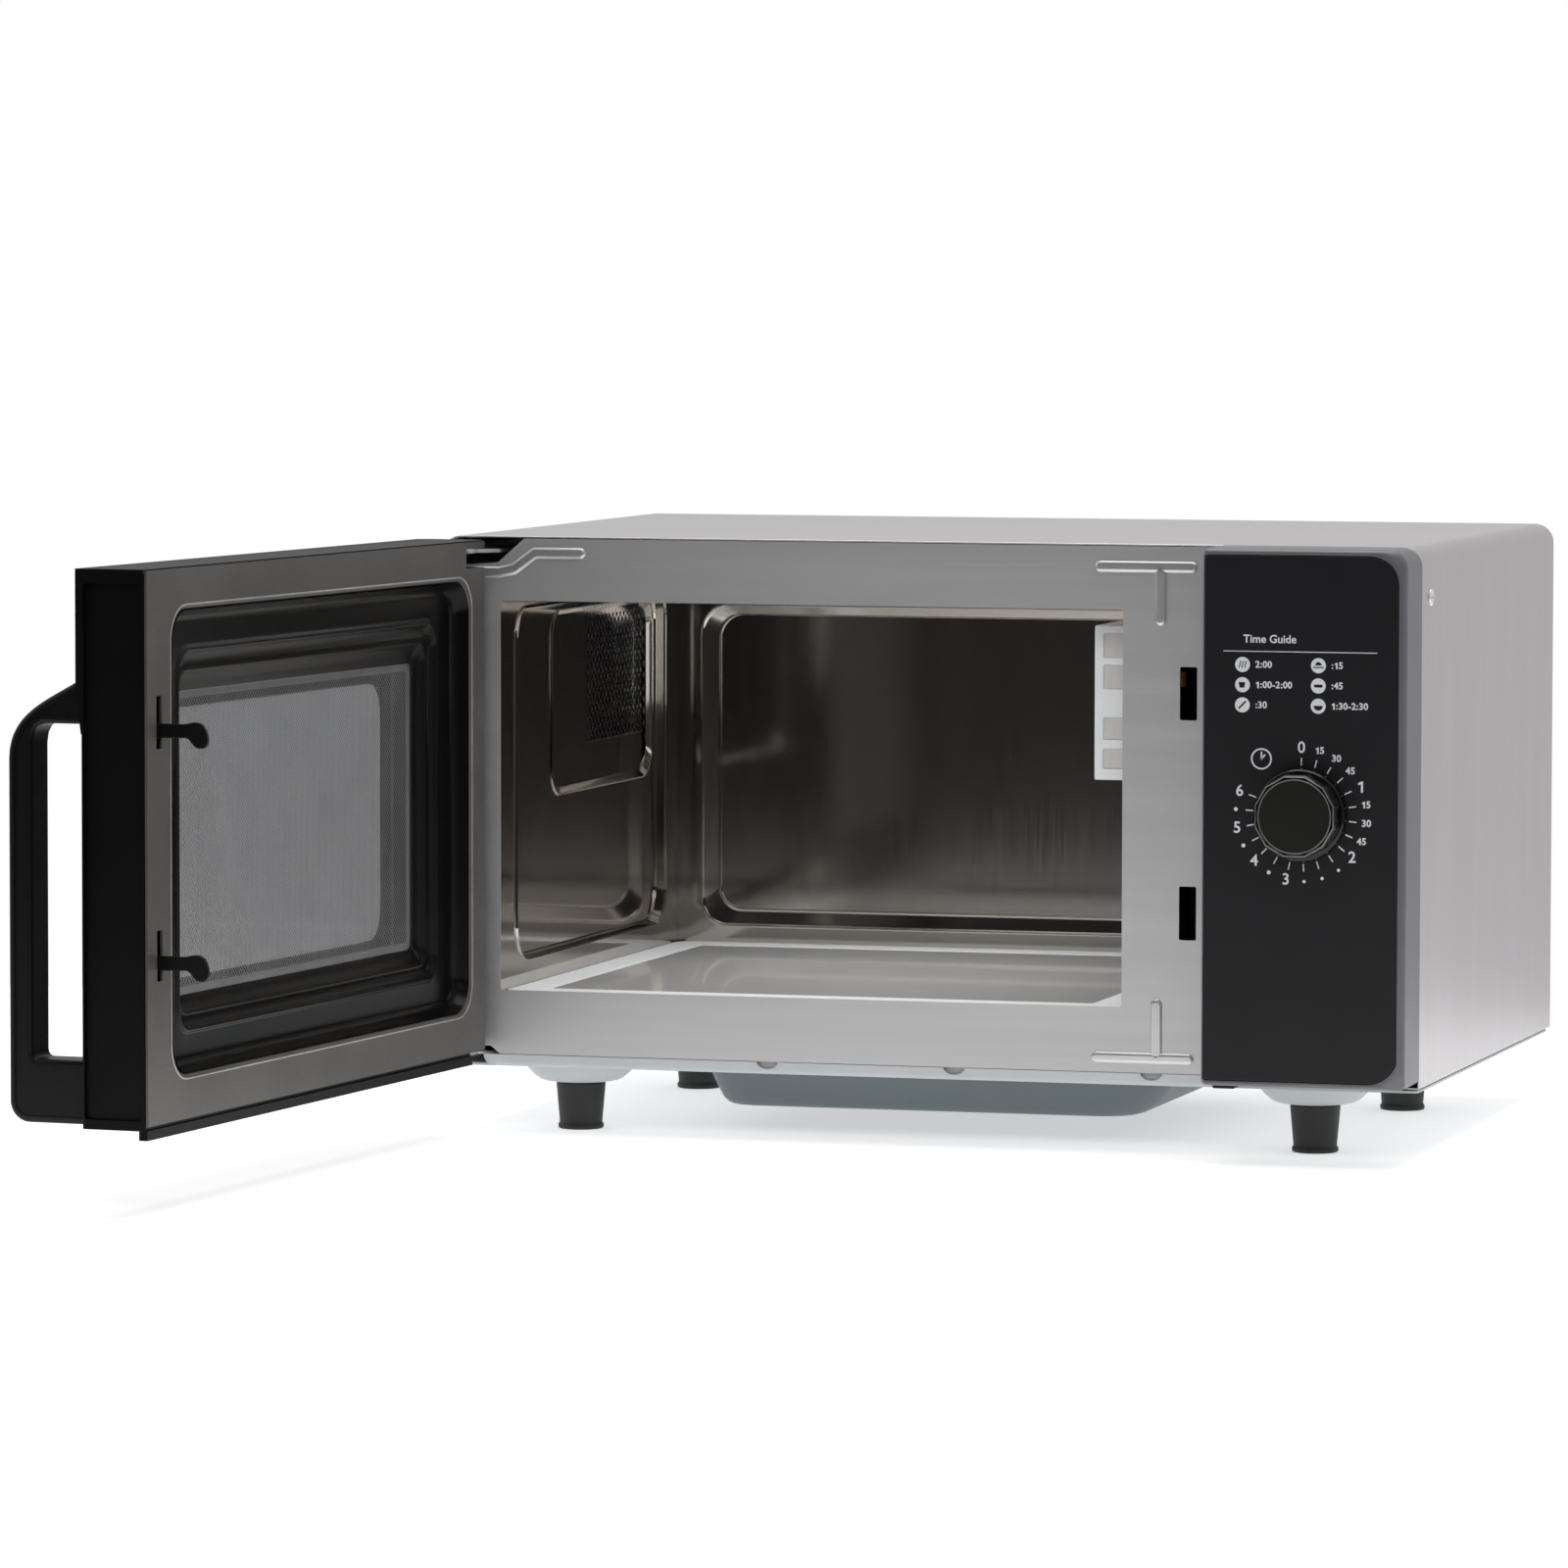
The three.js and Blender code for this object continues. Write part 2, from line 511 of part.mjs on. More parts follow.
function latchBracket() {
  const block = box(383, 402, 0.9 + GAP, SWITCH_Y - GAP, 100, 256);
  const pockets = [[105, 139], [215, 249]].map(([z0, z1]) => box(386, 399, 0, 33, z0, z1));
  const between = box(382, 403, 6, SWITCH_Y - 4, 145, 208);
  const holes = SWITCHES.map(([, z]) => rod('y', LATCH.x, z, 30, 40, 2.2, 2.2, 12));
  return cut(block, ...pockets, between, ...holes);
}

const microSwitch = (z) => cut(box(LATCH.x - 5, LATCH.x + 5, SWITCH_Y, SWITCH_Y + 24, z - 5.4, z + 5.4),
  rod('y', LATCH.x, z, SWITCH_Y - 1, SWITCH_Y + 8, 1.9, 1.9, 12));

const switchPlunger = (z) => rod('y', LATCH.x, z, 26.5, SWITCH_Y + 4, 1.5, 1.5, 12);

// ---------- hinges ----------
function hingePlate(z0, z1, pinFrom, pinTo) {
  const tongue = new THREE.Shape();
  tongue.absarc(PIVOT.x, PIVOT.y, 6.8, Math.PI, 2 * Math.PI);
  tongue.lineTo(PIVOT.x + 6.8, 4);
  tongue.lineTo(28, 10);
  tongue.lineTo(28, 30);
  tongue.lineTo(3.9, 30);
  tongue.closePath();
  return join(extrudeZ(tongue, z0, z1, 8), rod('z', PIVOT.x, PIVOT.y, pinFrom, pinTo, 3, 3, 14));
}

// ---------- door, modelled shut ----------
const pinBores = () => [
  rod('z', PIVOT.x, PIVOT.y, 30, 64, 3.5, 3.5, 14), rod('z', PIVOT.x, PIVOT.y, 276, 302, 3.5, 3.5, 14),
];

function doorFrame() {
  const { x0, x1, inner: innerFace, outer, z0, z1 } = DOOR;
  const back = innerFace - 1.6;        // the inner panel closes the frame
  const { y: visorFace, z: visorLow, flareX, flareLow, flareHigh } = VISOR;
  const block = extrudeZ(roundedShape(x0, x1, outer, back, [3, 1, 1, 1.2]), z0, z1);
  const visor = box(x0 + 3, x1, visorFace, outer + 1, visorLow, z1);
  const flare = extrudeX(polygon([[outer + 1, flareLow], [outer, flareLow], [visorFace, flareHigh],
    [visorFace, visorLow + 1], [outer + 1, visorLow + 1]]), flareX, x1);
  const hollow = box(20, x1 - 3, outer + 3, back + 1, z0 + 3, z1 - 3);
  const windowHole = box(48, 352, outer - 1, outer + 4, 84, 250);
  const glassSeat = box(34, 364, outer - 1, outer + 1.6, 70, 261);
  const lip = box(20, x1, innerFace - 4.6, innerFace - 0.2, 38.2, z0 + 0.2);
  const hingePocket = box(-1, 28, -27.5, 1, 291.5, 301.5);
  const lowerPocket = box(-1, 19.6, -27.5, 1, 37, 44.2);
  return cut(join(block, visor, flare, lip), hollow, windowHole, glassSeat, hingePocket, lowerPocket, ...pinBores());
}

const doorGlass = () => box(34.3, 363.7, DOOR.outer, DOOR.outer + 1.3, 70.3, 260.7);

function doorInnerPanel() {
  const panel = roundedShape(DOOR.x0 + 2, DOOR.x1 - 0.4, 44.6, DOOR.z1 - 0.6, 1);
  panel.holes.push(roundedShape(RECESS.x0, RECESS.x1, RECESS.z0, RECESS.z1, RECESS.radius));
  const half = LATCH.slotWidth / 2;
  for (const z of [[112, 136], [221, 246]]) {
    panel.holes.push(roundedShape(LATCH.x - half, LATCH.x + half, ...z, 0.4));
  }
  const hingeNotch = box(-1, 28, -9, 1, 291.5, 301.5);
  return cut(extrudeY(panel, DOOR.inner - 1.2, DOOR.inner), hingeNotch);
}

function chokeRing() {
  const level = (at, x0, x1, z0, z1, r) => ({ at, a0: x0, a1: x1, b0: z0, b1: z1, r });
  const face = DOOR.inner - 0.5;
  const back = face - WINDOW.depth;
  const g = GAP;
  const wall = 1.8;
  const outside = loft([
    level(back, WINDOW.x0 - 6, WINDOW.x1 + 6, WINDOW.z0 - 5, WINDOW.z1 + 5, 8),
    level(face - 9, 46, 354, 84, 266, 12),
    level(face - 8.6, RECESS.x0 + 6, RECESS.x1 - 6, RECESS.z0 + 6, RECESS.z1 - 6, 14),
    level(face, RECESS.x0 + g, RECESS.x1 - g, RECESS.z0 + g, RECESS.z1 - g, RECESS.radius - g),
  ], 'y');
  const inside = loft([
    level(back - 1, WINDOW.x0, WINDOW.x1, WINDOW.z0, WINDOW.z1, 4),
    level(back + 1.6, WINDOW.x0 + 0.4, WINDOW.x1 - 0.4, WINDOW.z0 + 0.4, WINDOW.z1 - 0.4, 4),
    level(face - 8, 46 + wall, 354 - wall, 84 + wall, 266 - wall, 11),
    level(face - 7, 36, 364, 76, 275, 12),
    level(face + 1, RECESS.x0 + g + wall, RECESS.x1 - g - wall, RECESS.z0 + g + wall,
      RECESS.z1 - g - wall, RECESS.radius - g - wall),
  ], 'y');
  return cut(outside, inside);
}

const ringBack = DOOR.inner - 0.5 - WINDOW.depth;
const meshScreen = () => box(WINDOW.x0 - 6, WINDOW.x1 + 6, ringBack - 1.1, ringBack - GAP,
  WINDOW.z0 - 5, WINDOW.z1 + 5);
const windowFilm = () => extrudeY(roundedShape(WINDOW.x0 + 0.6, WINDOW.x1 - 0.6, WINDOW.z0 + 0.6,
  WINDOW.z1 - 0.6, 5), ringBack + 0.1, ringBack + 1.1);

// A D-shaped pull: a bar with a slanted upper arm and a square lower one.
function doorHandle() {
  const { x0, x1, face, outer, bar, z0, z1 } = HANDLE;
  const inside = outer + bar;
  const visorFace = VISOR.y - GAP;
  const outline = new THREE.Shape();
  outline.moveTo(face, z0);
  outline.lineTo(face, VISOR.flareLow);
  outline.lineTo(visorFace, VISOR.flareHigh);
  outline.lineTo(visorFace, z1);
  outline.lineTo(visorFace - 3, z1);
  outline.bezierCurveTo(face - 27, 241, outer, 236, outer, z1 - 37);
  outline.lineTo(outer, z0 + 10);
  outline.absarc(outer + 10, z0 + 10, 10, Math.PI, 1.5 * Math.PI);
  const gap = polygon([[face + 1, 73.7], [inside + 2, 73.7], [inside, 76], [inside, 223.5],
    [inside + 3.7, 232], [face - 2.6, 232], [face - 2.2, 229], [face + 1, 229]]);
  return cut(extrudeX(outline, x0, x1, 5), extrudeX(gap, x0 - 1, x1 + 1));
}

// A slide bar inside the door with two hooks that reach out through the inner panel.
function latchSlide() {
  const half = LATCH.thickness / 2;
  const tip = DOOR.inner + LATCH.reach;
  const bar = box(LATCH.x - half, LATCH.x + half, -30, -14, 104, 246);
  const hooks = HOOK_NECKS.map((z) => {
    const hook = new THREE.Shape();
    hook.moveTo(-16, z - 3.7);
    hook.lineTo(tip - 12, z - 3.2);
    hook.bezierCurveTo(tip - 9, z - 3.5, tip - 9, z - 8.2, tip - 4, z - 8.2);
    hook.bezierCurveTo(tip + 1, z - 8.2, tip, z - 1, tip - 3, z + 3);
    hook.bezierCurveTo(tip - 6, z + 5.5, tip - 9, z + 3.8, tip - 13, z + 3.3);
    hook.lineTo(-16, z + 3.7);
    return extrudeX(hook, LATCH.x - half, LATCH.x + half, 6);
  });
  const springSeat = box(LATCH.x - 4, LATCH.x + 4, -28, -16, 243, 246);
  return join(bar, ...hooks, springSeat);
}

// Compression spring above the slide: a wire along a helix.
class Helix extends THREE.Curve {
  constructor(radius, length, turns) {
    super();
    Object.assign(this, { radius, length, turns });
  }

  getPoint(t, target = new THREE.Vector3()) {
    const angle = t * this.turns * 2 * Math.PI;
    return target.set(this.radius * Math.cos(angle), this.radius * Math.sin(angle), t * this.length);
  }
}

function latchSpring() {
  const wire = new THREE.Shape().absarc(0, 0, 0.6, 0, 2 * Math.PI);
  const turns = 5;
  const geometry = new THREE.ExtrudeGeometry(wire, {
    steps: turns * 8, extrudePath: new Helix(3.5, 46, turns), curveSegments: 2,
  });
  return solid(geometry.translate(LATCH.x, -22, 247));
}

const springPost = () => join(box(LATCH.x - 5, LATCH.x + 5, -32.6, -12, 294, 297),
  rod('z', LATCH.x, -22, 262, 295, 2, 2, 10));

// ---------- assembly ----------
place(cabinet, 'outer_wrap', brushedSteel, outerWrap());
place(cabinet, 'front_plate', brushedSteel, frontPlate());
place(cabinet, 'rear_panel', zincSteel, rearPanel());
place(cabinet, 'base_plate', bluePaint, basePlate());
place(cabinet, 'antenna_pan', panPaint, antennaPan());
for (const [name, x, y] of FEET) place(cabinet, name, rubberBlack, foot(x, y));
for (const [name, from] of [['wrap_screw_left', -1.4], ['wrap_screw_right', WIDTH - 4]]) {
  const head = name.endsWith('left') ? [-1.4, -0.3] : [WIDTH + 0.3, WIDTH + 1.4];
  place(cabinet, name, zincSteel, join(
    rod('x', 20, 281.5, from, from + 5.4, 2.1, 2.1, 12),
    rod('x', 20, 281.5, head[0], head[1], 4.3, 4.3, 18)));
}

place(cabinet, 'cavity_left_wall', polishedSteel, leftWall());
place(cabinet, 'exhaust_screen', polishedSteel, exhaustScreen());
place(cabinet, 'cavity_right_wall', polishedSteel, rightWall());
place(cabinet, 'cavity_ceiling', polishedSteel, ceiling());
place(cabinet, 'cavity_rear_wall', polishedSteel, rearWall());
place(cabinet, 'cavity_floor', polishedSteel, cavityFloor());
place(cabinet, 'ceramic_tray', ceramic, ceramicTray());
place(cabinet, 'lamp_cover', whitePlastic, lampCover());
place(cabinet, 'lamp_bulb', bulbGlass, lampBulb());
place(cabinet, 'lamp_socket', whitePlastic, lampSocket());
place(cabinet, 'exhaust_duct', zincSteel, exhaustDuct());

place(cabinet, 'waveguide', zincSteel, waveguide());
place(cabinet, 'antenna_rotor', castAluminium, antennaRotor());
place(cabinet, 'antenna_motor', blackPlastic, antennaMotor());
place(cabinet, 'magnetron', castAluminium, magnetron());
place(cabinet, 'transformer_core', laminations, transformerCore());
place(cabinet, 'transformer_winding', copper, transformerWinding());
place(cabinet, 'hv_capacitor', castAluminium, capacitor());
place(cabinet, 'hv_diode', blackPlastic, diode());
place(cabinet, 'fan_shroud', blackPlastic, fanShroud());
place(cabinet, 'fan_motor', laminations, fanMotor());
place(cabinet, 'fan_blade', blackPlastic, fanBlade());
place(cabinet, 'cord_gland', blackPlastic, cut(
  join(rod('y', 455, 75, DEPTH - 5, DEPTH + 1, 7, 7, 16), rod('y', 455, 75, DEPTH + GAP, DEPTH + 3.3, 10, 9, 20)),
  rod('y', 455, 75, DEPTH - 6, DEPTH + 4, 4, 4, 14)));

place(cabinet, 'control_housing', graphite, controlHousing());
place(cabinet, 'control_overlay', panelBlack, controlOverlay());
place(cabinet, 'timer_knob', glossBlack, timerKnob());
place(cabinet, 'timer_shaft', zincSteel, timerShaft());
place(cabinet, 'timer_unit', blackPlastic, timerUnit());
place(cabinet, 'panel_clip', blackPlastic, panelClip());
place(cabinet, 'filter_board', boardGreen, filterBoard());
place(cabinet, 'latch_bracket', blackPlastic, latchBracket());
for (const [name, z] of SWITCHES) {
  place(cabinet, name, blackPlastic, microSwitch(z));
  place(cabinet, `${name}_plunger`, whitePlastic, switchPlunger(z));
}
place(cabinet, 'upper_hinge_plate', zincSteel, hingePlate(298, 300, 280, 298.1));
place(cabinet, 'lower_hinge_plate', zincSteel, hingePlate(40.6, 42.2, 42.1, 60));

// The door's parts are drawn shut, then swung open about the hinge pins.
const door = new THREE.Group();
const doorParts = new THREE.Group();
door.position.set(PIVOT.x, PIVOT.y, 0);
door.rotation.z = -THREE.MathUtils.degToRad(DOOR_OPEN_DEG);
doorParts.position.set(-PIVOT.x, -PIVOT.y, 0);
door.add(doorParts);
cabinet.add(door);
place(doorParts, 'door_frame', blackPlastic, doorFrame());
place(doorParts, 'door_outer_glass', smokedGlass, doorGlass());
place(doorParts, 'door_inner_panel', doorPaint, doorInnerPanel());
place(doorParts, 'door_choke_ring', glossBlack, chokeRing());
place(doorParts, 'door_mesh_screen', meshGrey, meshScreen());
place(doorParts, 'door_window_film', clearFilm, windowFilm());
place(doorParts, 'door_handle', blackPlastic, doorHandle());
place(doorParts, 'latch_slide', blackPlastic, latchSlide());
place(doorParts, 'latch_spring', springSteel, latchSpring());
place(doorParts, 'latch_spring_post', blackPlastic, springPost());

// Origin: middle of the open oven's bounding box, on the worktop.
const bounds = new THREE.Box3().setFromObject(oven);
const middle = bounds.getCenter(new THREE.Vector3());
cabinet.position.set(-middle.x, -middle.y, -bounds.min.z);

export default oven;
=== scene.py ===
"""Microwave oven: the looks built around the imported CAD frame."""

import json
from math import atan2, copysign, cos, pi, radians, sin, sqrt

import bmesh
import bpy
from mathutils import Matrix, Vector
from mathutils.geometry import tessellate_polygon


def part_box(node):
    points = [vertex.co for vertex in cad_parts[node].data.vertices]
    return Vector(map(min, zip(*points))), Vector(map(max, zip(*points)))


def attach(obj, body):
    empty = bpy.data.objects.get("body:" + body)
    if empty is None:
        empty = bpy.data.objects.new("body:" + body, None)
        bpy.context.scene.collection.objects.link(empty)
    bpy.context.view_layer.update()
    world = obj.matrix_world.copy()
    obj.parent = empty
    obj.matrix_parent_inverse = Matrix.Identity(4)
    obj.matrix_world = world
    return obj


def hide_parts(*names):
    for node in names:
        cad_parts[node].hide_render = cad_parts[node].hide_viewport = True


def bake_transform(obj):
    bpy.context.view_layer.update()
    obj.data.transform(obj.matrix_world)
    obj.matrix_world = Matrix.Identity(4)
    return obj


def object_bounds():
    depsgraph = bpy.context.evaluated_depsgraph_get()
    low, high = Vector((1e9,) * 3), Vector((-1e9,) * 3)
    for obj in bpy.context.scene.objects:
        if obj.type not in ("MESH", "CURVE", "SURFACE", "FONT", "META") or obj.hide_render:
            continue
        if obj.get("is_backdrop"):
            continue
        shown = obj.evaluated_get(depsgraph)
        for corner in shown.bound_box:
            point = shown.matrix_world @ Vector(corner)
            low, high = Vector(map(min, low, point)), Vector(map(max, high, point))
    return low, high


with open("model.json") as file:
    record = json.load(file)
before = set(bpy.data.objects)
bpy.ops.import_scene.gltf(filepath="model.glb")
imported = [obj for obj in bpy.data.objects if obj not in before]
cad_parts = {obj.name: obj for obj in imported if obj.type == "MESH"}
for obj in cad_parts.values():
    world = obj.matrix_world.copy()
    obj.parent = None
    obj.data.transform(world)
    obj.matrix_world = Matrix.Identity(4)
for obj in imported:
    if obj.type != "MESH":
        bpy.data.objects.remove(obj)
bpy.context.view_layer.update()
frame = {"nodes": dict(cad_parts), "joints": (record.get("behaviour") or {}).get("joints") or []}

# ---------- the frame's measures, in millimetres ----------
# Cabinet frame: X = 0 left side, Y = 0 front plate's face, Z = 0 worktop. The door is drawn shut.
WRAP_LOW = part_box("outer_wrap")[0]
TO_ROW = Matrix.Translation((WRAP_LOW.x, WRAP_LOW.y, 0.0)) @ Matrix.Scale(0.001, 4)
HINGE = next(j for j in frame["joints"] if j["name"] == "door_hinge")
PIVOT = TO_ROW.inverted() @ Vector(HINGE["pos_m"])
OPEN_ANGLE = radians(HINGE["range_deg"][1])
PIVOT_AXIS = Matrix.Translation((PIVOT.x, PIVOT.y, 0.0))
DOOR_TO_ROW = TO_ROW @ PIVOT_AXIS @ Matrix.Rotation(-OPEN_ANGLE, 4, "Z") @ PIVOT_AXIS.inverted()


def row(x, y, z):
    """A point of the cabinet frame, in the row frame and metres."""
    return TO_ROW @ Vector((x, y, z))


def extent(node, place=TO_ROW):
    """A CAD node's lowest and highest corners, in millimetres of the cabinet or of the shut door."""
    back = place.inverted()
    points = [back @ vertex.co for vertex in frame["nodes"][node].data.vertices]
    return Vector(map(min, zip(*points))), Vector(map(max, zip(*points)))


def sides_of(low, high, axes):
    """The four sides (a0, a1, b0, b1) of a box seen along its third axis."""
    return tuple(corner["xyz".index(axis)] for axis in axes for corner in (low, high))


def add_object(name, data):
    obj = bpy.data.objects.new(name, data)
    bpy.context.collection.objects.link(obj)
    return obj


WALL_BOTTOM, (WIDTH, DEPTH, HEIGHT) = extent("outer_wrap")[0].z, extent("outer_wrap")[1]
SHEET, THICK = 0.8, 1.2
WALL_LOW, WALL_HIGH = extent("cavity_left_wall")
CAVITY_X0, CAVITY_X1 = WALL_HIGH.x, extent("cavity_right_wall")[0].x
CAVITY_Y1 = extent("cavity_rear_wall")[0].y
CAVITY_Z0, CAVITY_Z1 = WALL_LOW.z, extent("cavity_ceiling")[0].z

# ---------- camera ----------
CAMERA_AT = (1361.98, -4105.48, 468.11)
CAMERA_YAW, CAMERA_PITCH, CAMERA_ROLL = 0.27982, 0.06663, 0.00168
CAMERA_LENS = 193.95


def make_camera():
    data = bpy.data.cameras.new("camera")
    data.sensor_width, data.lens, data.clip_end = 36.0, CAMERA_LENS, 50.0
    camera = add_object("camera", data)
    turns = (("Z", CAMERA_YAW), ("X", pi / 2 - CAMERA_PITCH), ("Z", CAMERA_ROLL))
    yaw, tilt, roll = (Matrix.Rotation(angle, 4, axis) for axis, angle in turns)
    camera.matrix_world = Matrix.Translation(row(*CAMERA_AT)) @ yaw @ tilt @ roll
    bpy.context.scene.camera = camera


make_camera()

# ---------- materials ----------
LOOKS = {}
NOISE_MIDDLE = (0.3, 0.7)         # a noise field hardly leaves this range
TONE_STOPS = (0.35, 0.65)


def feed(tree, node, inputs):
    """Sets a node's inputs to values, or links them to other nodes' outputs."""
    for name, value in inputs.items():
        if isinstance(value, bpy.types.NodeSocket):
            tree.links.new(value, node.inputs[name])
        else:
            node.inputs[name].default_value = value


def add_node(tree, kind, inputs, **settings):
    node = tree.nodes.new(f"ShaderNode{kind}")
    for name, value in settings.items():
        setattr(node, name, value)
    feed(tree, node, inputs)
    return node


def noise(tree, scale, detail=3.0):
    """A noise field over the object's own coordinates, in metres; the scale may differ for each axis."""
    where = add_node(tree, "TexCoord", {}).outputs["Object"]
    scales = scale if isinstance(scale, tuple) else (scale,) * 3
    stretched = add_node(tree, "Mapping", {"Vector": where, "Scale": scales}).outputs["Vector"]
    return add_node(tree, "TexNoise", {"Vector": stretched, "Scale": 1.0, "Detail": detail,
                                       "Roughness": 0.5}).outputs["Fac"]


def ramp(tree, source, dark, light):
    """Runs from one colour to another over the middle of a noise field."""
    node = add_node(tree, "ValToRGB", {"Fac": source})
    first, last = node.color_ramp.elements
    first.position, last.position = TONE_STOPS
    first.color, last.color = (*dark, 1.0), (*light, 1.0)
    return node.outputs["Color"]


def remap(tree, source, from_low, from_high, to_low, to_high, **settings):
    return add_node(tree, "MapRange", {"Value": source, "From Min": from_low, "From Max": from_high,
                                       "To Min": to_low, "To Max": to_high}, **settings).outputs["Result"]


def shaded(name, inputs):
    """A material whose principled shader takes the inputs that inputs(tree) returns."""
    material = bpy.data.materials.new(name)
    material.use_nodes = True
    tree = material.node_tree
    feed(tree, tree.nodes["Principled BSDF"], inputs(tree))
    return material


def look(name, color, roughness, metallic=0.0, tint=0.06, drift=0.04, patches=30, grain=2500, bump=0.1,
         depth=5e-5, specular=0.5, **sockets):
    """A finish: tone and gloss that drift over patches, and a fine grain in its bump."""
    dark, light = ([min(1.0, channel * (1 + change)) for channel in color] for change in (-tint, tint))

    def inputs(tree):
        fine = noise(tree, grain, 2.0)
        height = add_node(tree, "Bump", {"Strength": bump, "Distance": depth, "Height": fine})
        return {
            "Base Color": ramp(tree, noise(tree, patches), dark, light),
            "Roughness": remap(tree, fine, *NOISE_MIDDLE, max(0.02, roughness - drift), roughness + drift),
            "Normal": height.outputs["Normal"], "Metallic": metallic, "Specular IOR Level": specular,
            **{socket.replace("_", " "): value for socket, value in sockets.items()}}

    LOOKS[name] = shaded(f"{name}_look", inputs)


def grey(level):
    return (level,) * 3


CAVITY_GRAIN = {"tint": 0.04, "patches": (14, 14, 5), "grain": (700, 700, 25), "bump": 0.04, "depth": 2e-5}
look("wrap_steel", (0.57, 0.55, 0.565), 0.34, 1.0, 0.02, 0.03, (5, 40, 5), (8, 2600, 8), depth=2e-5)
look("front_steel", (0.565, 0.557, 0.558), 0.38, 0.64, 0.03, 0.05, (4, 200, 90), (10, 2600, 2600), 0.2, 2e-5,
     Anisotropic=0.5, Anisotropic_Rotation=0.25)
# The ribs' finish: the front plate's steel painted lighter, as painted light on the ribs.
look("rib_steel_painted_light", (0.68, 0.67, 0.67), 0.38, 0.85, 0.03, bump=0.05, depth=2e-5)
look("cavity_steel", (0.50, 0.47, 0.44), 0.065, 1.0, drift=0.015, **CAVITY_GRAIN)
look("rear_cavity_steel", (0.50, 0.47, 0.44), 0.115, 1.0, drift=0.01, **CAVITY_GRAIN)
look("zinc_steel", (0.50, 0.515, 0.53), 0.40, 1.0, 0.05, 0.05, 55, 500, 0.06)
look("polished_silver", (0.84, 0.83, 0.82), 0.28, 0.30, 0.04, patches=60, bump=0.02)
look("base_paint", (0.50, 0.53, 0.55), 0.42, tint=0.03, patches=25, grain=900, depth=4e-5)
look("pan_paint", (0.130, 0.160, 0.172), 0.45, tint=0.05, patches=20, grain=900, bump=0.12, depth=4e-5)
look("foot_plastic", (0.015, 0.0145, 0.014), 0.55, tint=0.2, bump=0.2)
look("black_plastic", (0.0045, 0.0042, 0.004), 0.40, 0.0, 0.15, 0.06, 18, 1800, 0.25, specular=0.25)
look("door_black", (0.0025, 0.0023, 0.0022), 0.46, 0.0, 0.15, 0.05, 18, 1800, 0.2, specular=0.14)
look("gloss_black", grey(0.004), 0.14, tint=0.15, drift=0.02, bump=0.02, specular=0.4)
look("liner_black", grey(0.003), 0.24, tint=0.15, drift=0.03, bump=0.02, specular=0.16)
look("graphite_plastic", (0.138, 0.137, 0.154), 0.36, 0.3, 0.05, patches=25, grain=3200, bump=0.12)
look("panel_film", (0.0105, 0.0105, 0.012), 0.40, tint=0.04, drift=0.03, bump=0.12, specular=0.25)
look("print_ink", (0.62, 0.63, 0.65), 0.5, tint=0.03, patches=400, bump=0.05)
look("door_paint", (0.080, 0.076, 0.072), 0.36, 0.15, 0.10, 0.07, 22, 900, 0.16, 4e-5)
# A light grey that paints the highlight line along the door recess's rim.
look("lip_highlight_grey", (0.42, 0.40, 0.39), 0.25, 0.5, 0.1, patches=22, bump=0.05)
look("mesh_steel", (0.30, 0.30, 0.31), 0.4, 0.5, 0.08)
look("white_plastic", (0.94, 0.93, 0.94), 0.38, tint=0.01, bump=0.06, Subsurface_Weight=0.15,
     Subsurface_Scale=0.004)
look("milky_plastic", (0.68, 0.65, 0.655), 0.30, tint=0.03, patches=(200, 30, 60), bump=0.05)
look("ceramic", (0.62, 0.61, 0.595), 0.06, 0.0, 0.02, 0.02, 12, 300, 0.02)
look("laminations", (0.09, 0.085, 0.08), 0.45, 0.6, 0.2, patches=(40, 40, 900), grain=(60, 60, 2200),
     bump=0.4)
look("copper_winding", (0.42, 0.17, 0.08), 0.32, 0.9, 0.15, patches=(200, 200, 900), grain=(40, 40, 1400),
     bump=0.5, depth=3e-4)
look("aluminium", (0.58, 0.59, 0.60), 0.42, 1.0, 0.08, grain=900, bump=0.15)
look("circuit_board", (0.03, 0.13, 0.06), 0.4, tint=0.25, patches=300)
look("brass_spring", (0.45, 0.28, 0.08), 0.3, 1.0, 0.1, bump=0.05)
look("knob_face", (0.0085, 0.0085, 0.0065), 0.34, tint=0.1, specular=0.3)
# A light grey that paints the knob's fine highlight lines.
look("highlight_grey", (0.20, 0.19, 0.19), 0.3, 0.4, 0.1, patches=90, bump=0.05)
look("clear_film", grey(0.05), 0.06, tint=0.04, bump=0.02, Alpha=0.10)
look("smoked_glass", (0.01, 0.01, 0.012), 0.05, tint=0.04, bump=0.02, Alpha=0.45)
look("bulb_glass", (0.8, 0.78, 0.7), 0.08, tint=0.04, bump=0.02, Alpha=0.3)
steel = LOOKS["front_steel"].node_tree
across = add_node(steel, "Tangent", {}, direction_type="RADIAL", axis="Z")
feed(steel, steel.nodes["Principled BSDF"], {"Tangent": across.outputs[0]})

# ---------- mesh tools ----------
TO_SPACE = {
    "x": lambda a, b, at: (at, a, b),
    "y": lambda a, b, at: (a, at, b),
    "z": lambda a, b, at: (a, b, at),
}


def lift(points, at, axis="y"):
    return [TO_SPACE[axis](a, b, at) for a, b in points]


def rounded(a0, a1, b0, b1, radius, steps=6):
    """A rectangle's outline with round corners; four radii run from the low corner anticlockwise."""
    radii = radius if isinstance(radius, tuple) else (radius,) * 4
    corners = ((a0, b0, 1, 1), (a1, b0, -1, 1), (a1, b1, -1, -1), (a0, b1, 1, -1))
    points = []
    for turn, ((a, b, da, db), r) in enumerate(zip(corners, radii)):
        for step in range(steps + 1):
            angle = pi * (1 + (turn + step / steps) / 2)
            points.append((a + da * r + r * cos(angle), b + db * r + r * sin(angle)))
    return points


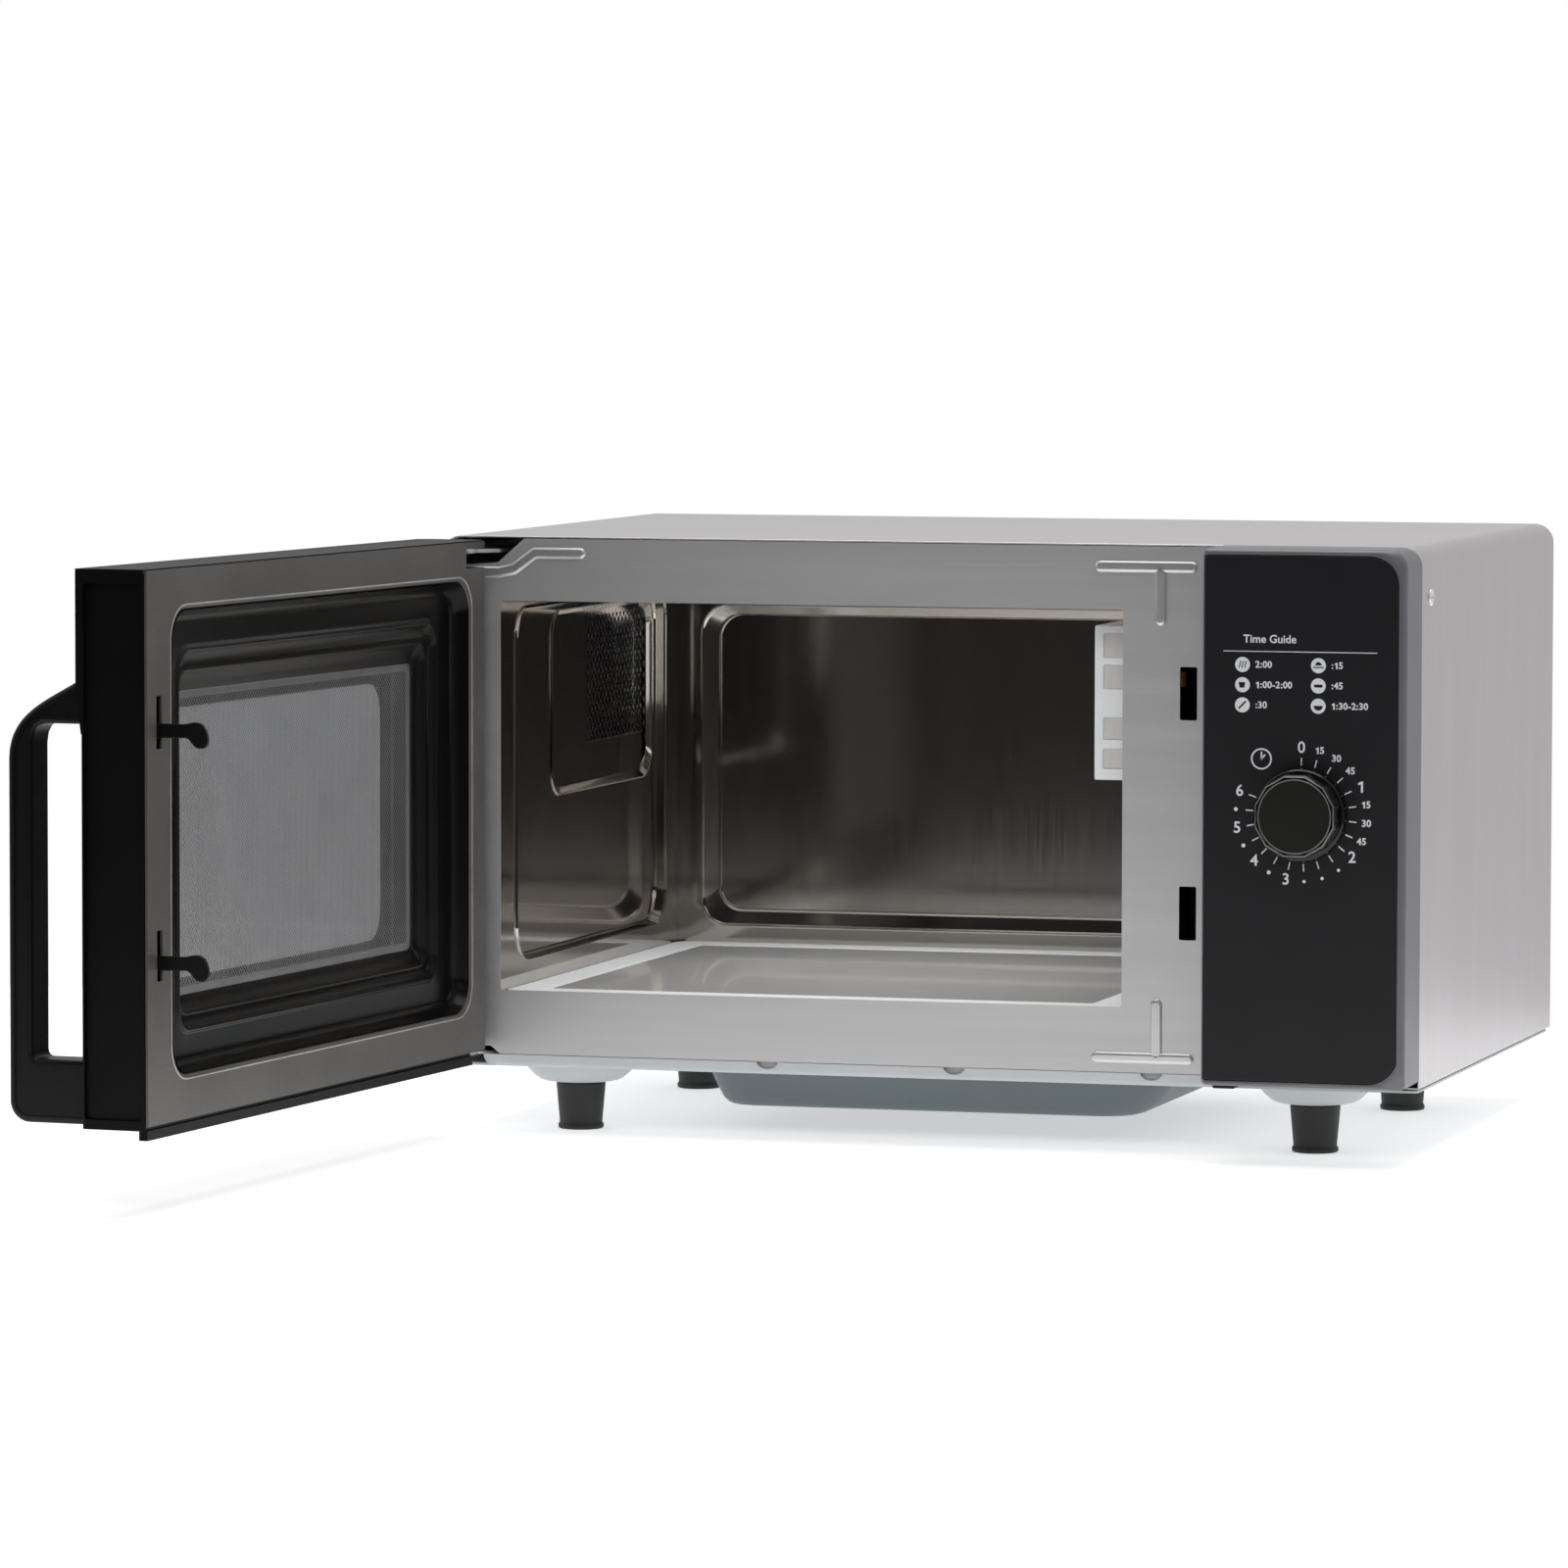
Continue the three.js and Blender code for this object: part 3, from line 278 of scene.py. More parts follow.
def within(sides, inset, radius, steps=8):
    """A rounded outline drawn in from the four sides (a0, a1, b0, b1) of a rectangle."""
    a0, a1, b0, b1 = sides
    return rounded(a0 + inset, a1 - inset, b0 + inset, b1 - inset, radius, steps)


def circle(a, b, radius, sides=32, start=0.0):
    angles = [start + 2 * pi * k / sides for k in range(sides)]
    return [(a + radius * cos(t), b + radius * sin(t)) for t in angles]


def arc(a, b, radius, start, end, steps=8):
    """Points along an arc, angles in degrees."""
    angles = [radians(start + (end - start) * k / steps) for k in range(steps + 1)]
    return [(a + radius * cos(t), b + radius * sin(t)) for t in angles]


def quarter(steps):
    """Angles from nought to a right angle."""
    return [k * pi / 2 / steps for k in range(steps + 1)]


def band(points, width, steps=6):
    """The outline of a line of some width with round ends."""
    line = [Vector(p) for p in points]
    runs = [(q - p).normalized() for p, q in zip(line, line[1:])]
    half = width / 2

    def side_points(sign):
        side = []
        for k, p in enumerate(line):
            before, after = runs[max(k - 1, 0)], runs[min(k, len(runs) - 1)]
            middle = (before + after).normalized()
            across = Vector((-middle.y, middle.x)) * sign
            side.append(p + across * half / max(0.3, middle.dot(before)))
        return side

    def cap(centre, run):
        start = atan2(run.x, -run.y)
        angles = [start - pi * step / steps for step in range(1, steps)]
        return [centre + Vector((cos(t), sin(t))) * half for t in angles]

    left, right = side_points(1), side_points(-1)
    return [tuple(p) for p in left + cap(line[-1], runs[-1]) + right[::-1] + cap(line[0], -runs[0])]


def upward(outline):
    """The same outline, run anticlockwise."""
    turning = sum(a[0] * b[1] - b[0] * a[1] for a, b in zip(outline, outline[1:] + outline[:1]))
    return outline if turning > 0 else outline[::-1]


def bridge(bm, one, two):
    """Faces between two rings of vertices."""
    for k in range(len(one)):
        after = (k + 1) % len(one)
        bm.faces.new((one[k], one[after], two[after], two[k]))


def skin(bm, rings, ends=(True, True), loop=False):
    """Faces between rings of points, with flat ends, open ends, or the last ring joined to the first."""
    made = [[bm.verts.new(p) for p in ring] for ring in rings]
    for one, two in list(zip(made, made[1:])) + ([(made[-1], made[0])] if loop else []):
        bridge(bm, one, two)
    for wanted, ring in zip(ends, (made[0], made[-1])):
        if wanted and not loop:
            bm.faces.new(ring)
    return made


def slab(bm, loops, axis, low, high):
    """A plate between two levels: the first loop is its outline and the others are its holes."""
    triangles = tessellate_polygon([[Vector((a, b, 0.0)) for a, b in loop] for loop in loops])
    points = [p for loop in loops for p in loop]
    sides = [[bm.verts.new(p) for p in lift(points, at, axis)] for at in (low, high)]
    caps = [bm.faces.new([side[i] for i in triangle]) for side in sides for triangle in triangles]
    start = 0
    for loop in loops:
        bridge(bm, *(side[start:start + len(loop)] for side in sides))
        start += len(loop)
    edges = dict.fromkeys(edge for face in caps for edge in face.edges)
    inside = [e for e in edges if len(e.link_faces) == 2 and all(f in caps for f in e.link_faces)]
    bmesh.ops.dissolve_edges(bm, edges=keep_simple(inside), use_verts=False)


def keep_simple(edges):
    """Of the edges inside a flat cap, those that may go without leaving a face with a hole in it."""
    parent = {}

    def root(face):
        while parent.get(face, face) is not face:
            face = parent[face]
        return face

    chosen = []
    for edge in edges:
        one, two = (root(face) for face in edge.link_faces)
        if one is not two:
            parent[one] = two
            chosen.append(edge)
    return chosen


def offset(points, distance):
    """Moves an anticlockwise outline inwards, or a clockwise hole outwards, by a distance."""
    moved = []
    for k, p in enumerate(points):
        before = (Vector(p) - Vector(points[k - 1])).normalized()
        after = (Vector(points[(k + 1) % len(points)]) - Vector(p)).normalized()
        one, two = Vector((-before.y, before.x)), Vector((-after.y, after.x))
        middle = (one + two).normalized()
        moved.append(tuple(Vector(p) + middle * distance / max(0.4, middle.dot(one))))
    return moved


def pillow(bm, loops, axis, low, high, radius, steps=4, sunk=()):
    """A plate whose rims are rounded: the first loop is its outline and the others are its holes.
    The high side may be sunk inside its rim, by steps of (distance inwards, drop)."""
    round_off = [(radius * (1 - sin(t)), radius * (1 - cos(t))) for t in quarter(steps)]
    levels = [(inset, low + rise) for inset, rise in round_off]
    levels += [(inset, high - rise) for inset, rise in round_off[::-1]]
    levels += [(radius + run, high - drop) for run, drop in sunk]
    rims = [skin(bm, [lift(offset(loop, inset), at, axis) for inset, at in levels], (False, False))
            for loop in loops]
    triangles = tessellate_polygon([[Vector((*p, 0.0)) for p in offset(loop, radius)] for loop in loops])
    for end in (0, -1):
        verts = [v for rim in rims for v in rim[end]]
        for triangle in triangles:
            bm.faces.new([verts[i] for i in triangle])


def move(bm, start, place):
    """Places the vertices made since the count stood at start."""
    bm.verts.ensure_lookup_table()
    bmesh.ops.transform(bm, matrix=place, verts=bm.verts[start:])


def turned(bm, profile, sides, place):
    """A body turned about Z from its profile of (radius, height) points, then placed."""
    start = len(bm.verts)
    skin(bm, [lift(circle(0, 0, max(radius, 0.02), sides), z, "z") for radius, z in profile])
    move(bm, start, place)


def facing(x, y, z, axis):
    """Turns local Z to look along an axis ('x', '-x', 'y', '-y' or '-z') from a point."""
    turns = {"x": ("Y", 90), "-x": ("Y", -90), "y": ("X", -90), "-y": ("X", 90), "-z": ("X", 180)}
    letter, degrees = turns[axis]
    return Matrix.Translation((x, y, z)) @ Matrix.Rotation(radians(degrees), 4, letter)


def modify(obj, name, kind, **settings):
    modifier = obj.modifiers.new(name, kind)
    for setting, value in settings.items():
        setattr(modifier, setting, value)


MERGE_DISTANCE, FLAT_ANGLE, EDGE_ANGLE = 5e-6, radians(1.0), radians(35.0)


def merge(obj):
    modify(obj, "merge", "WELD", merge_threshold=MERGE_DISTANCE)


def dissolve_flats(obj):
    modify(obj, "planar", "DECIMATE", decimate_type="DISSOLVE", angle_limit=FLAT_ANGLE)


def finish_edges(obj, soft, segments=2):
    """Rounds the edges by a width in millimetres, and lets the large flat faces set the shading normals."""
    if soft:
        modify(obj, "round", "BEVEL", width=soft * 0.001, segments=segments, limit_method="ANGLE",
               angle_limit=EDGE_ANGLE, use_clamp_overlap=True)
    modify(obj, "flat_faces", "WEIGHTED_NORMAL", mode="FACE_AREA", weight=80, keep_sharp=True)


def to_mesh(build, place, name, weld=0.0):
    """The mesh that build(bm) makes in millimetres, put in the row frame."""
    bm = bmesh.new()
    build(bm)
    if weld:
        bmesh.ops.remove_doubles(bm, verts=bm.verts, dist=weld)
    bmesh.ops.transform(bm, matrix=place, verts=bm.verts)
    bmesh.ops.recalc_face_normals(bm, faces=bm.faces)
    mesh = bpy.data.meshes.new(name)
    bm.to_mesh(mesh)
    bm.free()
    return mesh


def add_piece(name, mesh, body, finish, stands_for, soft, segments=2):
    """Puts a finished mesh on its body, if it has one, for the CAD part that it replaces."""
    mesh.materials.append(LOOKS[finish])
    obj = add_object(name, mesh)
    finish_edges(obj, soft, segments)
    if body:
        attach(obj, body)
    if stands_for:
        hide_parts(stands_for)
    return obj


def piece(finish, stands_for=None, body="cabinet", smooth=35.0, soft=0.0, segments=2, weld=0.0,
          name=None, place=None):
    """Makes a piece of the decorated build(bm), named after it unless it gets a name of its own."""
    def make(build):
        label = name or build.__name__
        mesh = to_mesh(build, place or (DOOR_TO_ROW if body == "door" else TO_ROW), label, weld)
        mesh.polygons.foreach_set("use_smooth", [True] * len(mesh.polygons))
        mesh.set_sharp_from_angle(angle=radians(smooth))
        return add_piece(label, mesh, body, finish, stands_for, soft, segments)
    return make


def dress(node, finish, soft):
    """Keeps a CAD part's shape, with its edges rounded and a finish of its own."""
    obj = frame["nodes"][node]
    obj.data.materials.clear()
    obj.data.materials.append(LOOKS[finish])
    merge(obj)
    dissolve_flats(obj)
    finish_edges(obj, soft)


# ---------- cabinet shell ----------
FEET = {name: extent(name) for name in ("foot_front_left", "foot_front_right", "foot_rear_left",
                                        "foot_rear_right")}
FOOT_CENTRES = {name: ((low.x + high.x) / 2, (low.y + high.y) / 2) for name, (low, high) in FEET.items()}
FOOT_TOP = FEET["foot_front_left"][1].z
BASE_LOW, BASE_HIGH = extent("base_plate")
BASE_Z = FOOT_TOP + 10.3          # underside of the flat base


@piece("wrap_steel", "outer_wrap", soft=0.3, smooth=30)
def wrap_shell(bm):
    """One bent sheet: left side, top and right side, its lower edges turned in."""
    bend, bottom, hem = 10.0, WALL_BOTTOM, 7.0
    tight, inside, top = bend - SHEET, bottom + SHEET, HEIGHT - bend
    outer = [(0, bottom), *arc(bend, top, bend, 180, 90), *arc(WIDTH - bend, top, bend, 90, 0),
             (WIDTH, bottom)]
    inner = [(WIDTH - hem, bottom), (WIDTH - hem, inside), (WIDTH - SHEET, inside),
             *arc(WIDTH - bend, top, tight, 0, 90), *arc(bend, top, tight, 90, 180),
             (SHEET, inside), (hem, inside), (hem, bottom)]
    slab(bm, [outer + inner], "y", 0.0, DEPTH)


def cross_head(bm, place, radius, height):
    """A pan-head screw with a cross recess, its axis along the local Z."""
    start = len(bm.verts)
    arm, thick, deep = radius * 0.55, radius * 0.15, height * 0.6
    rim = radius * 0.72
    corners = [(a * i, b * j) for i, j in ((1, 1), (-1, 1), (-1, -1), (1, -1))
               for a, b in (((arm, thick), (thick, thick), (thick, arm)) if i == j else
                            ((thick, arm), (thick, thick), (arm, thick)))]
    slab(bm, [circle(0, 0, rim, 32), corners], "z", height - deep, height)
    slab(bm, [circle(0, 0, rim, 32)], "z", 0.0, height - deep)
    dome = ((rim, height), (radius * 0.88, height * 0.82), (radius * 0.97, height * 0.5), (radius, 0.0),
            (rim, 0.0))
    skin(bm, [lift(circle(0, 0, r, 32), z, "z") for r, z in dome], loop=True)
    move(bm, start, place)


for side, x, outward, axis in (("left", 0.0, -1, "-x"), ("right", WIDTH, 1, "x")):
    node = f"wrap_screw_{side}"
    low, high = extent(node)

    @piece("polished_silver", node, smooth=40, name=f"{node}_detail")
    def wrap_screw(bm):
        y, z, radius = (low.y + high.y) / 2, (low.z + high.z) / 2, (high.z - low.z) / 2
        cross_head(bm, facing(x + outward * 0.1, y, z, axis), radius, 1.3)
        turned(bm, [(2.1, 0.0), (2.1, 3.6)], 16, facing(x - outward * 3.6, y, z, axis))


RIB_WIDTH, RIB_CREST = 6.2, -1.3
TEE_BARS = ((344.0, 397.0, 295.6, 378.0, 269.0), (343.0, 396.0, 48.9, 376.6, 76.2))
CRANKED_RIB = ((74.0, 298.5), (50.0, 298.5), (38.5, 290.2), (31.0, 288.6), (13.5, 288.6))
OPENING_Z0 = 74.3
LATCH_SLOT_X0, LATCH_SLOT_X1 = 388.0, 396.8
LATCH_SLOTS = ((219.1, 245.8), (108.8, 135.8))
PANEL_OPENING = (420, 500, 62, 288)


@piece("front_steel", "front_plate", smooth=50)
def front_plate_pressed(bm):
    """The front plate with its oven opening and its hinge and latch openings."""
    margin, corner, bottom = 1.1, 8.9, 41.5
    outline = [(margin, 45.5), (26.0, 45.5), (31.0, bottom),
               *arc(WIDTH - margin - 2, bottom + 2, 2, 270, 360, 4),
               *arc(WIDTH - margin - corner, HEIGHT - margin - corner, corner, 0, 90),
               (44.0, HEIGHT - margin), (30.0, 293.5), (15.0, 292.5), (margin, 292.5)]
    holes = [rounded(CAVITY_X0, CAVITY_X1, OPENING_Z0, CAVITY_Z1, 1.6, 4)]
    holes += [rounded(LATCH_SLOT_X0, LATCH_SLOT_X1, z0, z1, 0.8, 3) for z0, z1 in LATCH_SLOTS]
    holes.append(rounded(*PANEL_OPENING, 6, 4))
    slab(bm, [outline, *[hole[::-1] for hole in holes]], "y", 0.0, 0.9)


@piece("rib_steel_painted_light", smooth=60)
def front_ribs(bm):
    """The pressed stiffening ribs: two tees and a cranked one, with rounded flanks; their steel is painted
    lighter than the plate's own, as painted light.
    """
    lines = []
    for x0, x1, bar_z, stem_x, stem_z in TEE_BARS:
        inner_end = bar_z - copysign(1.5, bar_z - stem_z)
        lines += [((x0 + 3, bar_z), (x1 - 3, bar_z)), ((stem_x, inner_end), (stem_x, stem_z))]
    for line in (*lines, CRANKED_RIB):
        pillow(bm, [upward(band(line, RIB_WIDTH))], "y", RIB_CREST, 2.4, 1.9, 6)


@piece("brass_spring", soft=0.3)
def latch_leaf(bm):
    """The small brass leaf that shows inside the upper latch slot."""
    x, top = LATCH_SLOT_X0, LATCH_SLOTS[0][1]
    slab(bm, [[(x - 1.2, 3.0), (x + 0.4, 2.2), (x + 2.4, 4.4), (x + 1.6, 6.0), (x - 1.2, 5.0)]],
         "z", top - 10, top - 2.5)


REAR_SCREWS = ((18, 289), (140, 298), (371, 298), (493, 289), (499, 160), (496, 51), (256, 49), (15, 51),
               (12, 150))


@piece("polished_silver", smooth=40)
def rear_panel_screws(bm):
    """Pan-head screws that hold the back panel."""
    for x, z in REAR_SCREWS:
        cross_head(bm, facing(x, DEPTH - 0.1, z, "y"), 3.6, 1.5)


# ---------- base, pan and feet ----------
def bowl(bm, x, y):
    """A foot seat pressed down from the base, its shoulders rounded."""
    low = FOOT_TOP + 0.3
    rise = BASE_Z + THICK - low
    shape = ((30.0, 1.0), (29.4, 0.86), (27.8, 0.62), (25.6, 0.40), (22.8, 0.18), (20.2, 0.05), (17.6, 0.0))
    outer = [(radius, low + rise * share) for radius, share in shape]
    inner = [(radius - 1.1, z + THICK) for radius, z in outer[:0:-1]]
    rings = [lift(circle(x, y, radius, 48), z, "z") for radius, z in
             (*outer, (6.0, low), (6.0, low + THICK), *inner, (28.6, BASE_Z + THICK + 0.1))]
    middle = len(outer) + 1
    skin(bm, rings[:middle], (False, True))
    skin(bm, rings[middle:] + rings[:1], (True, False))


FLANGE_X0, FLANGE_X1 = 22.0, 405.0
DENTS = (173.5, 271.7, 374.0)
PAN_HOLE, SEAT_HOLE_RADIUS = (142, 346, 56, 259), 29.2


@piece("base_paint", "base_plate", smooth=40)
def base_pressed(bm):
    """The base with a foot seat at each corner and a front flange that three dents cut into."""
    x0, x1, y0, y1 = sides_of(BASE_LOW, BASE_HIGH, "xy")
    inside, bend, half, slices = BASE_Z + THICK, 2.6, 5.4, 12
    holes = [rounded(*PAN_HOLE, 20, 6)]
    holes += [circle(*centre, SEAT_HOLE_RADIUS, 48) for centre in FOOT_CENTRES.values()]
    slab(bm, [rounded(x0, x1, y0 + bend, y1, 3, 3), *[hole[::-1] for hole in holes]], "z", BASE_Z, inside)
    for x, y in FOOT_CENTRES.values():
        bowl(bm, x, y)

    def flange(from_x, to_x, top):
        outside = [(y0 + bend - bend * cos(t), BASE_Z + bend - bend * sin(t)) for t in quarter(6)]
        slab(bm, [[(y0, top), *outside, (y0 + bend, inside), (y0 + THICK, BASE_Z + bend),
                   (y0 + THICK, top)]], "x", from_x, to_x)

    x, step = FLANGE_X0 + 6, 2 * half / slices
    for dent in DENTS:
        flange(x, dent - half, BASE_HIGH.z)
        for k in range(slices):
            across = (2 * k + 1) / slices - 1
            flange(dent - half + k * step, dent - half + (k + 1) * step,
                   BASE_Z + 6.1 - 3.4 * sqrt(1 - across * across))
        x = dent + half
        slab(bm, [rounded(dent - half - 2, x + 2, inside, BASE_HIGH.z, 0.5, 2)], "y", y0 + bend, y0 + 3.4)
    flange(x, FLANGE_X1, BASE_HIGH.z)
    corner = [(FLANGE_X0 + 6 - 6 * sin(t), BASE_Z + 6 * (1 - cos(t)) + 0.1) for t in quarter(6)]
    slab(bm, [corner + [(FLANGE_X0 + 6.2, BASE_HIGH.z)]], "y", y0 + 0.1, y0 + THICK)


@piece("pan_paint", "antenna_pan", smooth=50, weld=0.001)
def pan_pressed(bm):
    """The deep pan under the base that houses the stirrer's motor and waveguide."""
    low, high = extent("antenna_pan")

    def level(z, inset, radius, grow=0.0):
        return lift(rounded(low.x + inset[0] - grow, high.x - inset[1] + grow, low.y + inset[2] - grow,
                            high.y - inset[2] + grow, radius, 10), z, "z")

    shape = [(0.0, (13.5, 27, 21), 16), (0.35, (9.5, 22, 17), 19), (1.2, (7.6, 19.2, 14.6), 22),
             (3.2, (5.6, 15.2, 12.0), 24), (7.0, (3.9, 10.6, 9.0), 26), (13.0, (1.9, 4.9, 4.8), 27),
             (18.0, (0.7, 1.6, 1.6), 28), (20.4, (0.3, 0.5, 0.6), 29), (high.z - low.z, (0, 0, 0), 30)]
    outside = [level(low.z + rise, inset, radius) for rise, inset, radius in shape]
    inside = [level(low.z + THICK + rise * 0.97, inset, radius - THICK, -THICK)
              for rise, inset, radius in shape[:-1]]
    skin(bm, outside[::-1], (False, True))
    skin(bm, inside + [level(high.z, (0, 0, 0), 28.8, -THICK), outside[-1]], (True, False))


FOOT_PROFILE = ((0, 0), (10.9, 0), (11.4, 0.25), (11.75, 0.8), (11.8, 1.9), (11.55, 2.6), (11.05, 3.1),
                (11.1, 4.5), (12.72, 22.9), (12.66, 23.9), (12.2, 24.5), (11.6, FOOT_TOP), (0, FOOT_TOP))
for node, (x, y) in FOOT_CENTRES.items():
    @piece("foot_plastic", node, smooth=50, name=f"{node}_moulded")
    def foot(bm):
        turned(bm, FOOT_PROFILE, 48, Matrix.Translation((x, y, 0)))


# ---------- oven cavity ----------
BEADED_SLOPE = ((0.0, 0.0), (0.04, -0.26), (0.08, -0.36), (0.12, -0.26), (0.16, 0.0), (0.22, 0.12),
                (0.80, 0.86), (0.86, 0.94), (0.90, 0.64), (0.94, 0.56), (0.97, 0.68), (1.0, 1.0))
LIPPED_SLOPE = ((0.0, 0.0), (0.05, -0.10), (0.11, -0.32), (0.16, -0.38), (0.21, -0.32), (0.30, -0.05),
                (0.80, 0.90), (0.90, 0.98), (1.0, 1.0))
REAR_PANEL = (44, 346, 82, 259)
LEFT_PANEL, SECOND_PANEL = (26.0, 292.0, 86.0, 270.0), (94, 275.0, 167.0, 264.5)
REAR_SINK, LEFT_SINK, SECOND_SINK, HOLE_PITCH = 1.4, 3.2, 2.2, 6.5
LAMP_HOLE = (45, 140, 195, 255)
EXHAUST_LOW, EXHAUST_HIGH = extent("exhaust_screen")
EXHAUST_HOLE = (EXHAUST_LOW.y, EXHAUST_HIGH.y - 33.0, EXHAUST_LOW.z, EXHAUST_HIGH.z - 6.5)
SCREEN_X = CAVITY_X0 - LEFT_SINK - SECOND_SINK - SHEET
SIDE_WALL = rounded(WALL_LOW.y, WALL_HIGH.y, CAVITY_Z0, WALL_HIGH.z, 0.5, 8)


def sloped_border(a0, a1, b0, b1, radius, width, depth, slope, start=0.0):
    """Outlines of a sloped border, each with its depth, from the outer edge to the sunk panel."""
    return [(rounded(a0 + width[0] * share, a1 - width[1] * share, b0 + width[2] * share,
                     b1 - width[3] * share, radius - 0.45 * share * min(width), 8), start + depth * fall)
            for share, fall in slope]


@piece("rear_cavity_steel", "cavity_rear_wall", smooth=60)
def rear_wall_pressed(bm):
    steps = [(rounded(CAVITY_X0 - SHEET, CAVITY_X1 + SHEET, CAVITY_Z0, CAVITY_Z1 + SHEET, 0.5, 8), 0.0)]
    steps += sloped_border(*REAR_PANEL, 15, (12, 12, 10.6, 6), REAR_SINK, BEADED_SLOPE)
    front, back = ([lift(outline, CAVITY_Y1 + (depth + sheet)) for outline, depth in steps]
                   for sheet in (0, SHEET))
    skin(bm, front[::-1] + back)


@piece("cavity_steel", "cavity_left_wall", smooth=60)
def left_wall_pressed(bm):
    """The left wall: a large sunk panel, with a second, shallow one around the exhaust holes."""
    steps = [(SIDE_WALL, 0.0)]
    steps += sloped_border(*LEFT_PANEL, 18, (5, 12, 3.6, 2.2), LEFT_SINK, BEADED_SLOPE)
    steps += sloped_border(*SECOND_PANEL, 14, (13, 3, 5, 3), SECOND_SINK, LIPPED_SLOPE, LEFT_SINK)
    steps.append((rounded(*EXHAUST_HOLE, 1.0, 8), LEFT_SINK + SECOND_SINK))
    front, back = ([lift(outline, -depth - sheet, "x") for outline, depth in steps] for sheet in (0, SHEET))
    skin(bm, front + back[::-1], loop=True)
    bmesh.ops.translate(bm, vec=(CAVITY_X0, 0, 0), verts=bm.verts[:])


def perforated(bm, axis, levels, sides, pitch, radius):
    """A sheet full of eight-sided holes in staggered rows: diamond cells, each with a hole at its middle."""
    a0, a1, b0, b1 = sides
    half = pitch / 2
    columns, rows = int((a1 - a0) / half), int((b1 - b0) / half)
    a_start, b_start = (a0 + a1 - columns * half) / 2, (b0 + b1 - rows * half) / 2
    corners = {}

    def corner(i, j, level):
        if (i, j, level) not in corners:
            corners[i, j, level] = bm.verts.new(TO_SPACE[axis](a_start + i * half, b_start + j * half, level))
        return corners[i, j, level]

    for i in range(1, columns):
        for j in range(2 - i % 2, rows, 2):
            hole = circle(a_start + i * half, b_start + j * half, radius, 8)
            rims = [[bm.verts.new(p) for p in lift(hole, level, axis)] for level in levels]
            for rim, level in zip(rims, levels):
                around = [corner(i + di, j + dj, level) for di, dj in ((1, 0), (0, 1), (-1, 0), (0, -1))]
                for turn in range(4):
                    bm.faces.new([around[turn], around[(turn + 1) % 4],
                                  *(rim[(turn * 2 + k) % 8] for k in (2, 1, 0))])
            if len(rims) == 2:
                bridge(bm, *rims)


@piece("cavity_steel", "exhaust_screen", smooth=40)
def exhaust_holes(bm):
    perforated(bm, "x", (SCREEN_X, SCREEN_X + SHEET), EXHAUST_HOLE, HOLE_PITCH, 1.9)
    slab(bm, [within(EXHAUST_HOLE, -1.5, 1.0, 2), within(EXHAUST_HOLE, HOLE_PITCH / 2 + 0.6, 1.0, 2)[::-1]],
         "x", SCREEN_X - 0.25, SCREEN_X + SHEET - 0.1)


@piece("cavity_steel", "cavity_right_wall", smooth=60)
def right_wall_plain(bm):
    outlines = [SIDE_WALL, rounded(*LAMP_HOLE, 3, 8)]
    front, back = ([lift(outline, x, "x") for outline in outlines] for x in (0.0, SHEET))
    skin(bm, front + back[::-1], loop=True)
    bmesh.ops.translate(bm, vec=(CAVITY_X1, 0, 0), verts=bm.verts[:])


@piece("zinc_steel", "exhaust_duct", soft=0.3)
def exhaust_duct_folded(bm):
    """The duct from the exhaust holes to the back, a thin box open at both ends."""
    low, high = extent("exhaust_duct")
    x0, x1, z0, z1 = low.x, SCREEN_X - 0.3, low.z, high.z
    for a0, a1, b0, b1, y1 in ((x0, x0 + THICK, z0, z1, high.y), (x0, x1, z0, z0 + THICK, high.y),
                               (x0, x1, z1 - THICK, z1, high.y), (x0, x1, z0, z1, low.y + THICK)):
        slab(bm, [[(a0, b0), (a1, b0), (a1, b1), (a0, b1)]], "y", low.y, y1)


TRAY_LOW, TRAY_HIGH = extent("ceramic_tray")
TRAY = sides_of(TRAY_LOW, TRAY_HIGH, "xy")


@piece("white_plastic", smooth=40)
def tray_seal_bead(bm):
    """The pale sealing bead around the tray."""
    wide, rise = 20.0, 0.35
    profile = ((0.3, -0.5), (0.3, 0.0), (0.8, rise), (wide - 1.2, rise), (wide, 0.05), (wide, -0.5))
    skin(bm, [lift(within(TRAY, inset, max(3.0, 12 - inset)), TRAY_HIGH.z + up, "z")
              for inset, up in profile], loop=True)


@piece("ceramic", "ceramic_tray", smooth=40)
def tray_glazed(bm):
    edge = 1.6
    profile = [(0.4, TRAY_LOW.z), (0.0, TRAY_LOW.z + 0.4)]
    profile += [(edge * (1 - cos(t)), TRAY_HIGH.z - edge * (1 - sin(t))) for t in quarter(5)]
    skin(bm, [lift(within(TRAY, inset, 12 - inset), z, "z") for inset, z in profile])


LAMP_PANES = ((191.6, 201.9), (206.3, 217.7), (232.0, 244.3), (247.8, 260.5))


